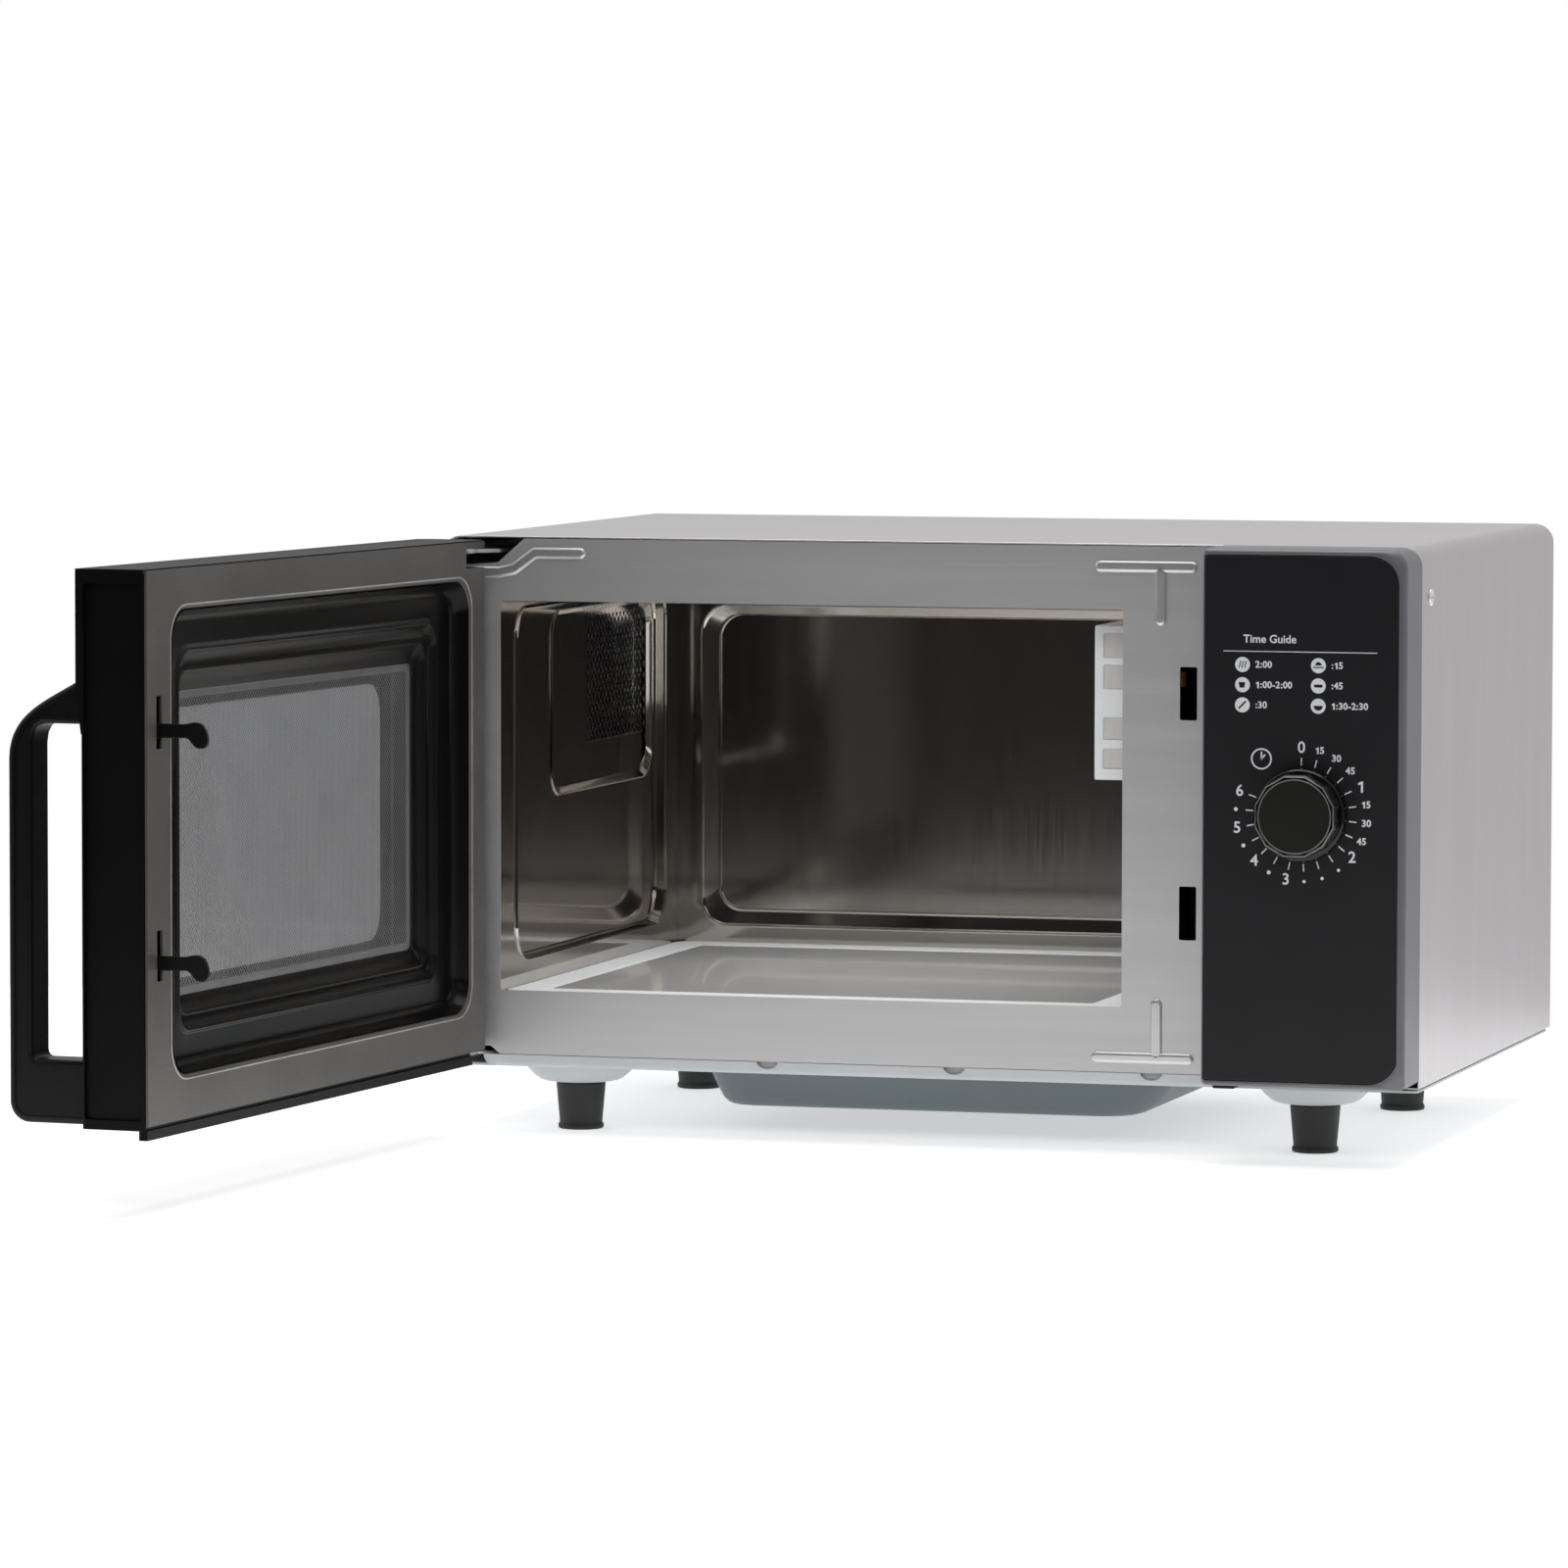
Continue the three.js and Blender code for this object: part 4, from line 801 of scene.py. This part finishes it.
@piece("white_plastic", "lamp_cover", soft=0.25)
def lamp_cover_moulded(bm):
    """A moulded cover with four sunk panes in front and louvres in its side."""
    (x0, y0, z0), (x1, y1, z1) = extent("lamp_cover")
    wall, sunk = 1.6, 1.0
    outline = rounded(x0, x1 + 0.2, z0, z1, (1.6, 0.3, 0.3, 1.6), 4)
    panes = [rounded(x0 + 4.4, x1 - 0.8, b0, b1, 1.0, 3)[::-1] for b0, b1 in LAMP_PANES]
    slab(bm, [outline, *panes], "y", y0, y0 + sunk)
    slab(bm, [outline], "y", y0 + sunk, y0 + sunk + 0.8)
    bars = [rounded(y0 + 9 + k * 13.0, y0 + 16 + k * 13.0, z0 + 9, z1 - 9, 1.5, 3)[::-1] for k in range(8)]
    side = rounded(y0 + 0.6, y1, z0, z1, 0.6, 3)
    slab(bm, [side, *bars], "x", x0, x0 + sunk)
    slab(bm, [side], "x", x0 + sunk, x0 + sunk + 0.6)
    for b0, b1 in ((z0, z0 + wall), (z1 - wall, z1)):
        slab(bm, [rounded(x0 + 0.2, x1, y0 + 0.4, y1, 0.4, 3)], "z", b0 + 0.01, b1 - 0.01)
    slab(bm, [rounded(x0 + 0.2, x1, z0 + 0.2, z1 - 0.2, 0.4, 3)], "y", y1 - wall, y1)


@piece("milky_plastic")
def lamp_panes(bm):
    """The milky panes let into the cover's front."""
    low, high = extent("lamp_cover")
    for b0, b1 in LAMP_PANES:
        pillow(bm, [rounded(low.x + 4.5, high.x - 0.9, b0 + 0.1, b1 - 0.1, 1.0, 3)], "y",
               low.y + 0.35, low.y + 1.2, 0.3, 2)


# ---------- control panel ----------
PANEL_LOW, PANEL_HIGH = extent("control_housing")
FACE_LOW, FACE_HIGH = extent("control_overlay")
FACE_LOW.x -= 0.4
FACE_HIGH.x += 1.9
FACE = sides_of(FACE_LOW, FACE_HIGH, "xz")
KNOB_LOW, KNOB_HIGH = extent("timer_knob")
DIAL_X, DIAL_Z = (KNOB_LOW.x + KNOB_HIGH.x) / 2, (KNOB_LOW.z + KNOB_HIGH.z) / 2
KNOB_HEIGHT, KNOB_PLACE = KNOB_HIGH.y - KNOB_LOW.y, facing(DIAL_X, KNOB_HIGH.y, DIAL_Z, "-y")
SHAFT_HOLE = circle(DIAL_X, DIAL_Z, 5, 36, pi)


@piece("graphite_plastic", "control_housing", smooth=45)
def bezel_moulded(bm):
    """The graphite bezel: a hollow moulding with rounded front edges and a sunk bed for the face."""
    x0, x1, z0, z1 = sides_of(PANEL_LOW, PANEL_HIGH, "xz")
    back, front, bed, deep = PANEL_HIGH.y, PANEL_LOW.y, FACE_HIGH.y, 4.2

    def level(y, share, corner):
        return lift(rounded(x0 + 0.7 * share, x1 - 3.6 * share, z0 + 1.8 * share, z1 - 2.2 * share,
                            (2.6, corner * 1.7 - 14, corner, 2.6), 8), y)

    rings = [level(back, 0.0, 10.0)]
    rings += [level(front + deep * (1 - sin(t)), 1 - cos(t), 10 + 5.5 * k / 8)
              for k, t in enumerate(quarter(8))]
    ledge = within(FACE, -0.25, (1.9, 15.9, 15.9, 1.9))
    hollow = within((x0, x1, z0, z1), 2.2, (1, 2.0, 7.8, 1))
    rings += [lift(ledge, front + 0.15), lift(ledge, bed + 0.2), lift(SHAFT_HOLE, bed + 0.2),
              lift(SHAFT_HOLE, front + 3.6), lift(hollow, front + 3.6), lift(hollow, back)]
    skin(bm, rings, loop=True)


@piece("panel_film", "control_overlay", smooth=45)
def face_film(bm):
    """The black face film on its carrier, edges rolled over."""
    edge = 0.9
    rings = [(0.0, FACE_HIGH.y)] + [(edge * (1 - cos(t)), FACE_LOW.y + edge * (1 - sin(t)))
                                    for t in quarter(5)]
    rings = [lift(within(FACE, inset, tuple(r - inset for r in (1.7, 15.7, 15.7, 1.7))), y)
             for inset, y in rings]
    skin(bm, rings + [lift(SHAFT_HOLE, FACE_LOW.y), lift(SHAFT_HOLE, FACE_HIGH.y)], loop=True)


PRINT_DEPTH = 0.06


def letter(bm, text, x, z, size, weight, align="CENTER"):
    """Printed numerals, flat on the face."""
    curve = bpy.data.curves.new("print", "FONT")
    for setting, value in (("body", text), ("size", size), ("offset", weight), ("align_x", align),
                           ("align_y", "CENTER"), ("resolution_u", 4)):
        setattr(curve, setting, value)
    holder = add_object("print", curve)
    bpy.context.view_layer.update()
    flat = bpy.data.meshes.new_from_object(holder.evaluated_get(bpy.context.evaluated_depsgraph_get()))
    bpy.data.objects.remove(holder)
    bpy.data.curves.remove(curve)
    start = len(bm.verts)
    bm.from_mesh(flat)
    bpy.data.meshes.remove(flat)
    move(bm, start, Matrix.Translation((x, FACE_LOW.y - PRINT_DEPTH, z)) @ Matrix.Rotation(pi / 2, 4, "X"))


def ink(bm, *loops):
    slab(bm, list(loops), "y", FACE_LOW.y - PRINT_DEPTH, FACE_LOW.y + 0.02)


def figure_one(bm, x, z, scale, bold=0.0):
    """A figure 1 with its flag, drawn as one outline."""
    outline = [(0.2 - bold, -2.75), (1.25, -2.75), (1.25, 2.75), (0.4, 2.75), (-1.3, 1.75),
               (-1.0 - bold / 2, 0.85 - bold), (0.2 - bold, 1.5 - bold)]
    ink(bm, [(x + scale * a, z + scale * b) for a, b in outline])


def numerals(bm, text, x, z, size, weight, centred=True):
    """A row of figures set at an even pitch."""
    widths = [size * {":": 0.29, "-": 0.38}.get(sign, 0.52) for sign in text]
    left = x - sum(widths) / 2 if centred else x
    for sign, width in zip(text, widths):
        if sign == "1":
            figure_one(bm, left + width / 2, z, size * 0.127, 0.35)
        else:
            letter(bm, sign, left + width / 2, z, size, weight)
        left += width


def on_dial(radius, degrees, across=0.0):
    """A point of the dial: degrees run clockwise from the top."""
    t = radians(degrees)
    return (DIAL_X + radius * sin(t) + across * cos(t),
            DIAL_Z + radius * cos(t) - across * sin(t))


DIAL_STEP, TICK_HALF_WIDTH, TICK_RADII, MARK_RADIUS = 16.1, 0.3, (24.3, 28.1), 33.1
DIAL_MARKS = "0 15 30 45 1 15 30 45 2 . . . 3 - 4 - 5 - 6".split()
GUIDE_X, GUIDE_Z, GUIDE_COLUMN, GUIDE_LINE = 428.7, 249.6, 38.3, 10.0
GUIDE_TIMES = (("2:00", "1:00-2:00", ":30"), (":15", ":45", "1:30-2:30"))


@piece("print_ink", smooth=30)
def dial_numerals(bm):
    for count, mark in enumerate(DIAL_MARKS):
        angle = count * DIAL_STEP
        ink(bm, [on_dial(TICK_RADII[end], angle, across * TICK_HALF_WIDTH)
                 for end, across in ((0, -1), (0, 1), (1, 1), (1, -1))])
        x, z = on_dial(MARK_RADIUS, angle)
        if mark in ".-":
            ink(bm, circle(x, z, 0.8 if mark == "." else 1.0, 16))
        elif mark == "1":
            figure_one(bm, x, z, 1.0)
        elif len(mark) == 1:
            letter(bm, mark, x, z, 7.9, 0.12)
        else:
            numerals(bm, mark, x, z, 4.7, 0.13)
    x, z = DIAL_X - 20.2, DIAL_Z + 27.3
    ink(bm, circle(x, z, 5.3, 40), circle(x, z, 4.5, 40)[::-1])
    ink(bm, band([(x, z - 0.2), (x, z + 3.3)], 0.8, 4))
    ink(bm, band([(x, z), (x + 1.7, z + 1.9)], 0.8, 4))


def pictogram(bm, x, z, kind):
    """A light disc with a plain shape left out of it: stripes, a cup, a loaf, a bowl and the like."""
    disc = circle(x, z, 3.75, 36)
    shapes = {
        "rashers": [band([(x - 1.7 + k * 1.4, z - 1.5), (x - 0.9 + k * 1.4, z + 1.6)], 0.55, 3)
                    for k in range(3)],
        "cup": [[(x - 2.0, z + 1.3), (x - 1.4, z - 1.5), (x + 0.9, z - 1.5), (x + 1.5, z + 1.3)]],
        "stick": [band([(x - 1.7, z - 1.6), (x + 1.6, z + 1.7)], 0.9, 4)],
        "loaf": [rounded(x - 2.2, x + 2.2, z - 0.8, z + 0.7, 0.6, 3)],
        "bowl": [[(x - 2.4, z + 0.2)] + arc(x, z + 0.2, 2.4, 180, 360, 10)],
        "plate": [band([(x - 2.5, z - 0.9), (x + 2.5, z - 0.9)], 0.6, 3),
                  arc(x, z + 0.1, 1.7, 0, 180, 8)],
    }
    ink(bm, disc, *[shape[::-1] for shape in shapes[kind]])


@piece("print_ink", smooth=30)
def guide_marks(bm):
    """A plain table of cooking times beside small discs."""
    letter(bm, "Time Guide", 429.0, 262.2, 5.6, 0.09, "LEFT")
    ink(bm, [(419.0, 256.0), (496.5, 256.0), (496.5, 256.4), (419.0, 256.4)])
    kinds = (("rashers", "cup", "stick"), ("plate", "loaf", "bowl"))
    for column, (times, icons) in enumerate(zip(GUIDE_TIMES, kinds)):
        for line, (time, icon) in enumerate(zip(times, icons)):
            x, z = GUIDE_X + GUIDE_COLUMN * column, GUIDE_Z - GUIDE_LINE * line
            pictogram(bm, x, z, icon)
            numerals(bm, time, x + 6.4, z, 4.6, 0.12, centred=False)


GRIP_SIDES, GRIP_RADIUS, GRIP_FACE_RADIUS, CAP_RADIUS = 12, 21.0, 19.6, 17.9


def grip_outline(radius, z):
    """The grip's twelve flats, slightly inside a radius."""
    turn = pi / GRIP_SIDES
    return lift(circle(0, 0, radius / cos(turn) * 0.985, GRIP_SIDES, turn), z, "z")


@piece("gloss_black", "timer_knob", smooth=25, soft=0.45, segments=3, body="knob")
def knob_grip(bm):
    """A round rim, a twelve-sided grip, a chamfer and a flat face, which a thin painted highlight ring sits
    on.
    """
    rim = (KNOB_HIGH.x - KNOB_LOW.x) / 2
    turned(bm, [(3.4, 0.0), (rim, 0.0), (rim, 1.2), (rim - 0.25, 2.6), (rim - 0.7, 3.7), (rim - 1.5, 4.4),
                (GRIP_RADIUS - 1.5, 4.9)], 72, KNOB_PLACE)
    start = len(bm.verts)
    skin(bm, [grip_outline(radius, z)
              for radius, z in ((GRIP_RADIUS, 4.0), (GRIP_RADIUS, KNOB_HEIGHT - 1.5),
                                (GRIP_FACE_RADIUS, KNOB_HEIGHT))])
    move(bm, start, KNOB_PLACE)


@piece("knob_face", smooth=40, body="knob")
def knob_cap(bm):
    """The satin disc let into the grip's face, inside the thin painted highlight ring."""
    turned(bm, [(radius, KNOB_HEIGHT + rise) for radius, rise in
                ((0.0, -1.0), (CAP_RADIUS, -1.0), (CAP_RADIUS, 0.04), (0.0, 0.05))], 72, KNOB_PLACE)


@piece("highlight_grey", smooth=40, body="knob")
def knob_painted_highlights(bm):
    """Two fine painted highlights in light grey: a ring around the disc and a line along the twelve-sided
    edge of the grip.
    """
    skin(bm, [lift(circle(0, 0, radius, 72), KNOB_HEIGHT + rise, "z")
              for radius, rise in ((17.9, 0.0), (18.05, 0.16), (18.35, 0.16), (18.5, 0.0))], loop=True)
    skin(bm, [grip_outline(radius, KNOB_HEIGHT + rise)
              for radius, rise in ((19.6, -0.02), (19.75, 0.02), (20.1, -0.30), (19.9, -0.40))], loop=True)
    move(bm, 0, KNOB_PLACE)


# ---------- door, drawn shut: its inner face looks along +Y ----------
((DOOR_LOW, DOOR_HIGH), (INNER_LOW, INNER_HIGH), (RING_LOW, RING_HIGH), (GLASS_LOW, GLASS_HIGH),
 (SCREEN_LOW, SCREEN_HIGH), (GRIP_LOW, GRIP_HIGH), (COIL_LOW, COIL_HIGH)) = (
    extent(node, DOOR_TO_ROW) for node in (
        "door_frame", "door_inner_panel", "door_choke_ring", "door_outer_glass", "door_mesh_screen",
        "door_handle", "latch_spring"))
RECESS, RECESS_RADIUS = (23.0, 377.0, 66.0, 285.0), 16.0
WINDOW = (61.0, 339.0, 100.0, 245.0)
HOOK_X = 392.4
HOOK_SLOTS = ((112.0, 136.0), (221.0, 246.0))


def frame_channel(bm):
    """The long recess in the free edge of the door."""
    outline = rounded(DOOR_LOW.y + 4.0, INNER_LOW.y - 2.0, DOOR_LOW.z + 9.0, DOOR_HIGH.z - 7.0, 1.2, 3)
    slab(bm, [outline], "x", DOOR_HIGH.x - 1.9, DOOR_HIGH.x + 2)


def frame_groove(bm):
    """The parting line between the frame's back half and its glazed face."""
    y, top = DOOR_LOW.y + 6.5, DOOR_HIGH.z
    slab(bm, [[(y, top - 0.5), (y + 0.7, top - 0.5), (y + 0.7, top + 1), (y, top + 1)]],
         "x", DOOR_LOW.x - 1, DOOR_HIGH.x + 1)


def make_door_frame():
    """The CAD frame with its channel and its groove cut out."""
    copy = add_object("door_frame_copy", frame["nodes"]["door_frame"].data.copy())
    merge(copy)
    tools = [add_object("cutter", to_mesh(build, DOOR_TO_ROW, "cutter"))
             for build in (frame_channel, frame_groove)]
    for tool in tools:
        modify(copy, "cut", "BOOLEAN", operation="DIFFERENCE", object=tool)
    dissolve_flats(copy)
    bpy.context.view_layer.update()
    mesh = bpy.data.meshes.new_from_object(copy.evaluated_get(bpy.context.evaluated_depsgraph_get()))
    for obj in (copy, *tools):
        bpy.data.objects.remove(obj)
    mesh.name = "door_frame_moulded"
    mesh.materials.clear()
    mesh.polygons.foreach_set("use_smooth", [True] * len(mesh.polygons))
    add_piece("door_frame_moulded", mesh, "door", "door_black", "door_frame", 0.5)


make_door_frame()


def recess_outline(inset, radius=None):
    return within(RECESS, inset, RECESS_RADIUS - inset * 0.5 if radius is None else radius, 10)


@piece("door_paint", "door_inner_panel", smooth=50, body="door")
def inner_panel_pressed(bm):
    """The painted inner sheet, rolled over into the recess, with slots for the hooks."""
    face, roll, deep = INNER_HIGH.y, 2.6, 5.5
    x0, x1, z0, z1 = sides_of(INNER_LOW, INNER_HIGH, "xz")
    notch_z0, notch_z1, notch_x = 291.5, 301.5, 28.0
    outline = [(x0, z0), (x1, z0), (x1, z1), (x0, z1), (x0, notch_z1), (notch_x, notch_z1),
               (notch_x, notch_z0), (x0, notch_z0)]
    slots = [rounded(HOOK_X - 2.9, HOOK_X + 2.9, low, high, 0.5, 3)[::-1] for low, high in HOOK_SLOTS]
    slab(bm, [outline, recess_outline(-roll)[::-1], *slots], "y", face - THICK, face)
    rings = []
    for radius, start, last in ((roll, 0.0, 0.1), (roll - THICK, THICK, -THICK)):
        side = [lift(recess_outline(radius * sin(t) - roll), face - (radius * (1 - cos(t)) + start))
                for t in quarter(6)] + [lift(recess_outline(last), face - deep)]
        rings += side if start == 0.0 else side[::-1]
    skin(bm, rings, loop=True)
    slab(bm, [[(x0, face - 4.5), (x1, face - 4.5), (x1, face - 0.3), (x0, face - 0.3)]],
         "z", z1 - THICK, z1)


@piece("lip_highlight_grey", smooth=60, body="door")
def recess_lip_highlight(bm):
    """A thin bead along the recess's rim, painted light grey as a painted highlight line."""
    profile = ((-2.9, -0.1), (-2.75, 0.12), (-2.45, 0.2), (-2.1, 0.1), (-1.95, -0.25))
    skin(bm, [lift(recess_outline(inset), INNER_HIGH.y + rise) for inset, rise in profile], loop=True)


def window_ring(share):
    """Outlines from the recess floor's inner edge (0) to the window (1)."""
    sides = [start + (end - start) * share for start, end in zip((46.0, 354.0, 84.0, 266.0), WINDOW)]
    return rounded(*sides, 12 - 7 * share, 10)


@piece("liner_black", "door_choke_ring", smooth=60, body="door")
def recess_liner(bm):
    """The glossy liner: recess wall, flat floor, a bead, then a stepped slope to the window."""
    top = RING_HIGH.y
    wall = ((0.35, 0.2), (0.8, 1.4), (2.0, 4.8), (3.2, 6.6), (4.6, 7.8), (6.4, 8.5), (9.0, 8.6))
    slope = ((-0.10, 8.6), (-0.04, 8.0), (0.0, 7.5), (0.05, 7.5), (0.10, 8.2), (0.16, 9.6), (0.30, 10.8),
             (0.42, 11.3), (0.47, 11.0), (0.52, 11.0), (0.57, 11.7), (0.66, 13.2), (0.85, 14.8),
             (0.96, 15.4), (1.0, 16.0))
    rings = [lift(recess_outline(inset, RECESS_RADIUS - inset * 0.45), top - depth) for inset, depth in wall]
    rings += [lift(window_ring(share), top - depth) for share, depth in slope]
    rings += [lift(within(WINDOW, -4, 7, 10), RING_LOW.y),
              lift(rounded(44, 356, 82, 268, 13, 10), top - 11.0), lift(recess_outline(4.0, 14), top - 10.4),
              lift(recess_outline(0.35, 15.6), top - 6.5)]
    skin(bm, rings, loop=True)


SCREEN_PITCH, SCREEN_HOLE = 2.8, 0.80


@piece("mesh_steel", "door_mesh_screen", smooth=30, body="door")
def window_screen(bm):
    """The perforated screen behind the window, held in a plain margin."""
    y = SCREEN_HIGH.y - 0.3
    x0, x1, z0, z1 = WINDOW
    perforated(bm, "y", (y,), (x0 + 1.0, x1 - 1.0, z0 + 1.0, z1 - 1.0), SCREEN_PITCH, SCREEN_HOLE)
    margin = rounded(*sides_of(SCREEN_LOW, SCREEN_HIGH, "xz"), 2, 3)
    slab(bm, [margin, within(WINDOW, 1.0 + SCREEN_PITCH, 2.0, 3)[::-1]], "y", y - 0.5, y - 0.05)


def bezier(p0, p1, p2, p3, steps=8):
    """Points along a cubic curve, its start left out."""
    rows = []
    for k in range(1, steps + 1):
        t = k / steps
        weights = ((1 - t) ** 3, 3 * t * (1 - t) ** 2, 3 * t * t * (1 - t), t ** 3)
        rows.append(tuple(sum(w * p[i] for w, p in zip(weights, (p0, p1, p2, p3))) for i in (0, 1)))
    return rows


@piece("black_plastic", "door_handle", smooth=40, body="door")
def handle_moulded(bm):
    """A D-shaped pull: a straight bar, a slanted upper arm and a square lower one."""
    face, outer = GRIP_HIGH.y, GRIP_LOW.y
    z0, z1 = GRIP_LOW.z, GRIP_HIGH.z
    visor, inner = DOOR_LOW.y - 0.3, outer + 12.0
    shoulder = (visor - 4.0, z1 - 1.0)
    outline = [*arc(outer + 10, z0 + 10, 10, 180, 270, 10), (face, z0), (face, 73.7),
               *arc(inner + 3.2, 76.9, 3.2, 270, 180, 4), (inner, 222.0), (inner + 0.8, 227.0),
               (inner + 2.6, 230.2), (inner + 6.0, 232.0), (face, 232.0), (face, z1), (visor - 1.5, z1),
               shoulder, *bezier(shoulder, (face - 22.0, 243.0), (outer, 236.5), (outer, z1 - 38), 14)]
    pillow(bm, [outline], "x", GRIP_LOW.x, GRIP_HIGH.x, 2.2, 5, sunk=((0.9, 0.0), (1.3, 0.7)))


@piece("smoked_glass", "door_outer_glass", smooth=40, body="door")
def outer_glass_pane(bm):
    outline = rounded(*sides_of(GLASS_LOW, GLASS_HIGH, "xz"), 2.0, 4)
    pillow(bm, [outline], "y", GLASS_LOW.y, GLASS_HIGH.y, 0.3, 2)


@piece("liner_black", smooth=40, body="door")
def glass_border(bm):
    """The black border printed on the back of the outer pane, its clear window rounded at the corners."""
    x0, x1, z0, z1 = WINDOW
    back = GLASS_HIGH.y + 0.25
    slab(bm, [rounded(x0 - 12, x1 + 12, z0 - 6, z1 + 6, 3, 8),
              rounded(x0 + 2.0, x1 - 1.0, z0 + 5.0, z1 - 10.0, 15, 8)[::-1]], "y", back, back + 0.3)


@piece("zinc_steel", "latch_spring", body=None, smooth=60, place=DOOR_TO_ROW)
def latch_coil(bm):
    """The latch's compression spring: a round wire wound on a helix, its end coils closed."""
    x, y = (COIL_LOW.x + COIL_HIGH.x) / 2, (COIL_LOW.y + COIL_HIGH.y) / 2
    wire, radius, turns, steps = 0.6, (COIL_HIGH.x - COIL_LOW.x) / 2 - 0.6, 9, 14
    z0, z1 = COIL_LOW.z + wire, COIL_HIGH.z - wire
    rings = []
    for k in range(turns * steps + 1):
        turn, angle = k / steps, 2 * pi * k / steps
        risen = min(1.0, max(0.0, (turn - 0.8) / (turns - 1.6)))
        z = z0 + min(turn, 1.0) + max(0.0, turn - turns + 1) + (z1 - z0 - 2.0) * risen
        out = Vector((cos(angle), sin(angle), 0.0))
        centre = Vector((x, y, z)) + out * radius
        rings.append([tuple(centre + out * a + Vector((0, 0, b))) for a, b in circle(0, 0, wire, 8)])
    skin(bm, rings)


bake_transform(latch_coil)

# ---------- parts that keep their CAD shape ----------
FINISHES = (
    ("cavity_steel", 0.2, "cavity_ceiling cavity_floor"),
    ("zinc_steel", 0.25, "rear_panel waveguide timer_shaft"),
    ("polished_silver", 0.5, "upper_hinge_plate lower_hinge_plate"),
    ("black_plastic", 0.5, "antenna_motor hv_diode fan_shroud fan_blade cord_gland timer_unit panel_clip"
                           " latch_bracket primary_switch monitor_switch secondary_switch latch_slide"
                           " latch_spring_post"),
    ("white_plastic", 0.3, "lamp_socket primary_switch_plunger monitor_switch_plunger"
                           " secondary_switch_plunger"),
    ("laminations", 0.3, "transformer_core fan_motor"),
    ("copper_winding", 0.8, "transformer_winding"),
    ("aluminium", 0.3, "antenna_rotor magnetron hv_capacitor"),
    ("circuit_board", 0.2, "filter_board"),
    ("clear_film", 0.0, "door_window_film"),
    ("bulb_glass", 0.0, "lamp_bulb"),
)
for finish, soft, nodes in FINISHES:
    for node in nodes.split():
        dress(node, finish, soft)

# ---------- light and floor ----------
FRONT_LEVEL, TOP_LEVEL, BACK_LEVEL = 0.03, 0.30, 0.74
FLOOR_GLOW = 0.50


def make_world():
    """White to the camera; a studio that is dark in front and bright above, at the sides and behind."""
    world = bpy.data.worlds.new("studio")
    bpy.context.scene.world = world
    world.use_nodes = True
    tree = world.node_tree
    tree.nodes.clear()
    direction = add_node(tree, "TexCoord", {}).outputs["Generated"]
    axes = add_node(tree, "SeparateXYZ", {0: direction}).outputs
    smooth = {"interpolation_type": "SMOOTHSTEP"}
    behind = remap(tree, axes["Y"], -0.85, 0.3, 0.0, BACK_LEVEL, **smooth)
    above = remap(tree, axes["Z"], 0.35, 0.8, FRONT_LEVEL, TOP_LEVEL, **smooth)
    level = add_node(tree, "Math", {0: behind, 1: above}, operation="ADD").outputs[0]
    studio = add_node(tree, "Background", {"Strength": level}).outputs[0]
    white = add_node(tree, "Background", {"Strength": 1.0, "Color": (1, 1, 1, 1)}).outputs[0]
    seen = add_node(tree, "LightPath", {}).outputs["Is Camera Ray"]
    mix = add_node(tree, "MixShader", {"Fac": seen, 1: studio, 2: white}).outputs[0]
    add_node(tree, "OutputWorld", {"Surface": mix})


def softbox(name, at, aim, size, power, shiny=True):
    data = bpy.data.lights.new(name, "AREA")
    data.shape = "RECTANGLE"
    data.size, data.size_y = size
    data.energy = power
    light = add_object(name, data)
    light.location = at
    light.rotation_euler = (Vector(aim) - Vector(at)).to_track_quat("-Z", "Y").to_euler()
    light.visible_camera = False
    light.visible_glossy = shiny


def make_floor():
    half, front, back = 0.80, -0.70, 0.75
    mesh = bpy.data.meshes.new("floor")
    corners = [(-half, front, 0), (half, front, 0), (half, back, 0), (-half, back, 0)]
    mesh.from_pydata(corners, [], [(0, 1, 2, 3)])
    mesh.materials.append(shaded("floor_paper", lambda tree: {
        "Base Color": ramp(tree, noise(tree, 3), grey(0.80), grey(0.83)), "Roughness": 0.9,
        "Emission Color": (1, 1, 1, 1), "Emission Strength": FLOOR_GLOW}))
    floor = add_object("floor", mesh)
    floor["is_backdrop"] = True


make_world()
make_floor()
softbox("top_softbox", (0.1, 0.2, 2.2), (0, 0.2, 0), (2.4, 1.8), 26)
softbox("front_softbox", (0.5, -2.4, 1.5), (0, 0.2, 0.15), (1.0, 0.7), 18, shiny=False)
tray_middle = row((CAVITY_X0 + CAVITY_X1) / 2, CAVITY_Y1 * 0.45, CAVITY_Z0)
cavity_top = row((CAVITY_X0 + CAVITY_X1) / 2, CAVITY_Y1 * 0.45, CAVITY_Z1 - 4)
softbox("cavity_glow", cavity_top, tray_middle, (0.26, 0.22), 0.55, shiny=False)
softbox("right_softbox", (1.5, -2.6, 1.3), (0, 0, 0.15), (1.4, 1.2), 3)
softbox("left_softbox", (-2.2, -0.9, 1.1), (0, 0, 0.15), (1.2, 1.6), 8)
bpy.context.scene.view_settings.view_transform = "Standard"

low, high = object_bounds()
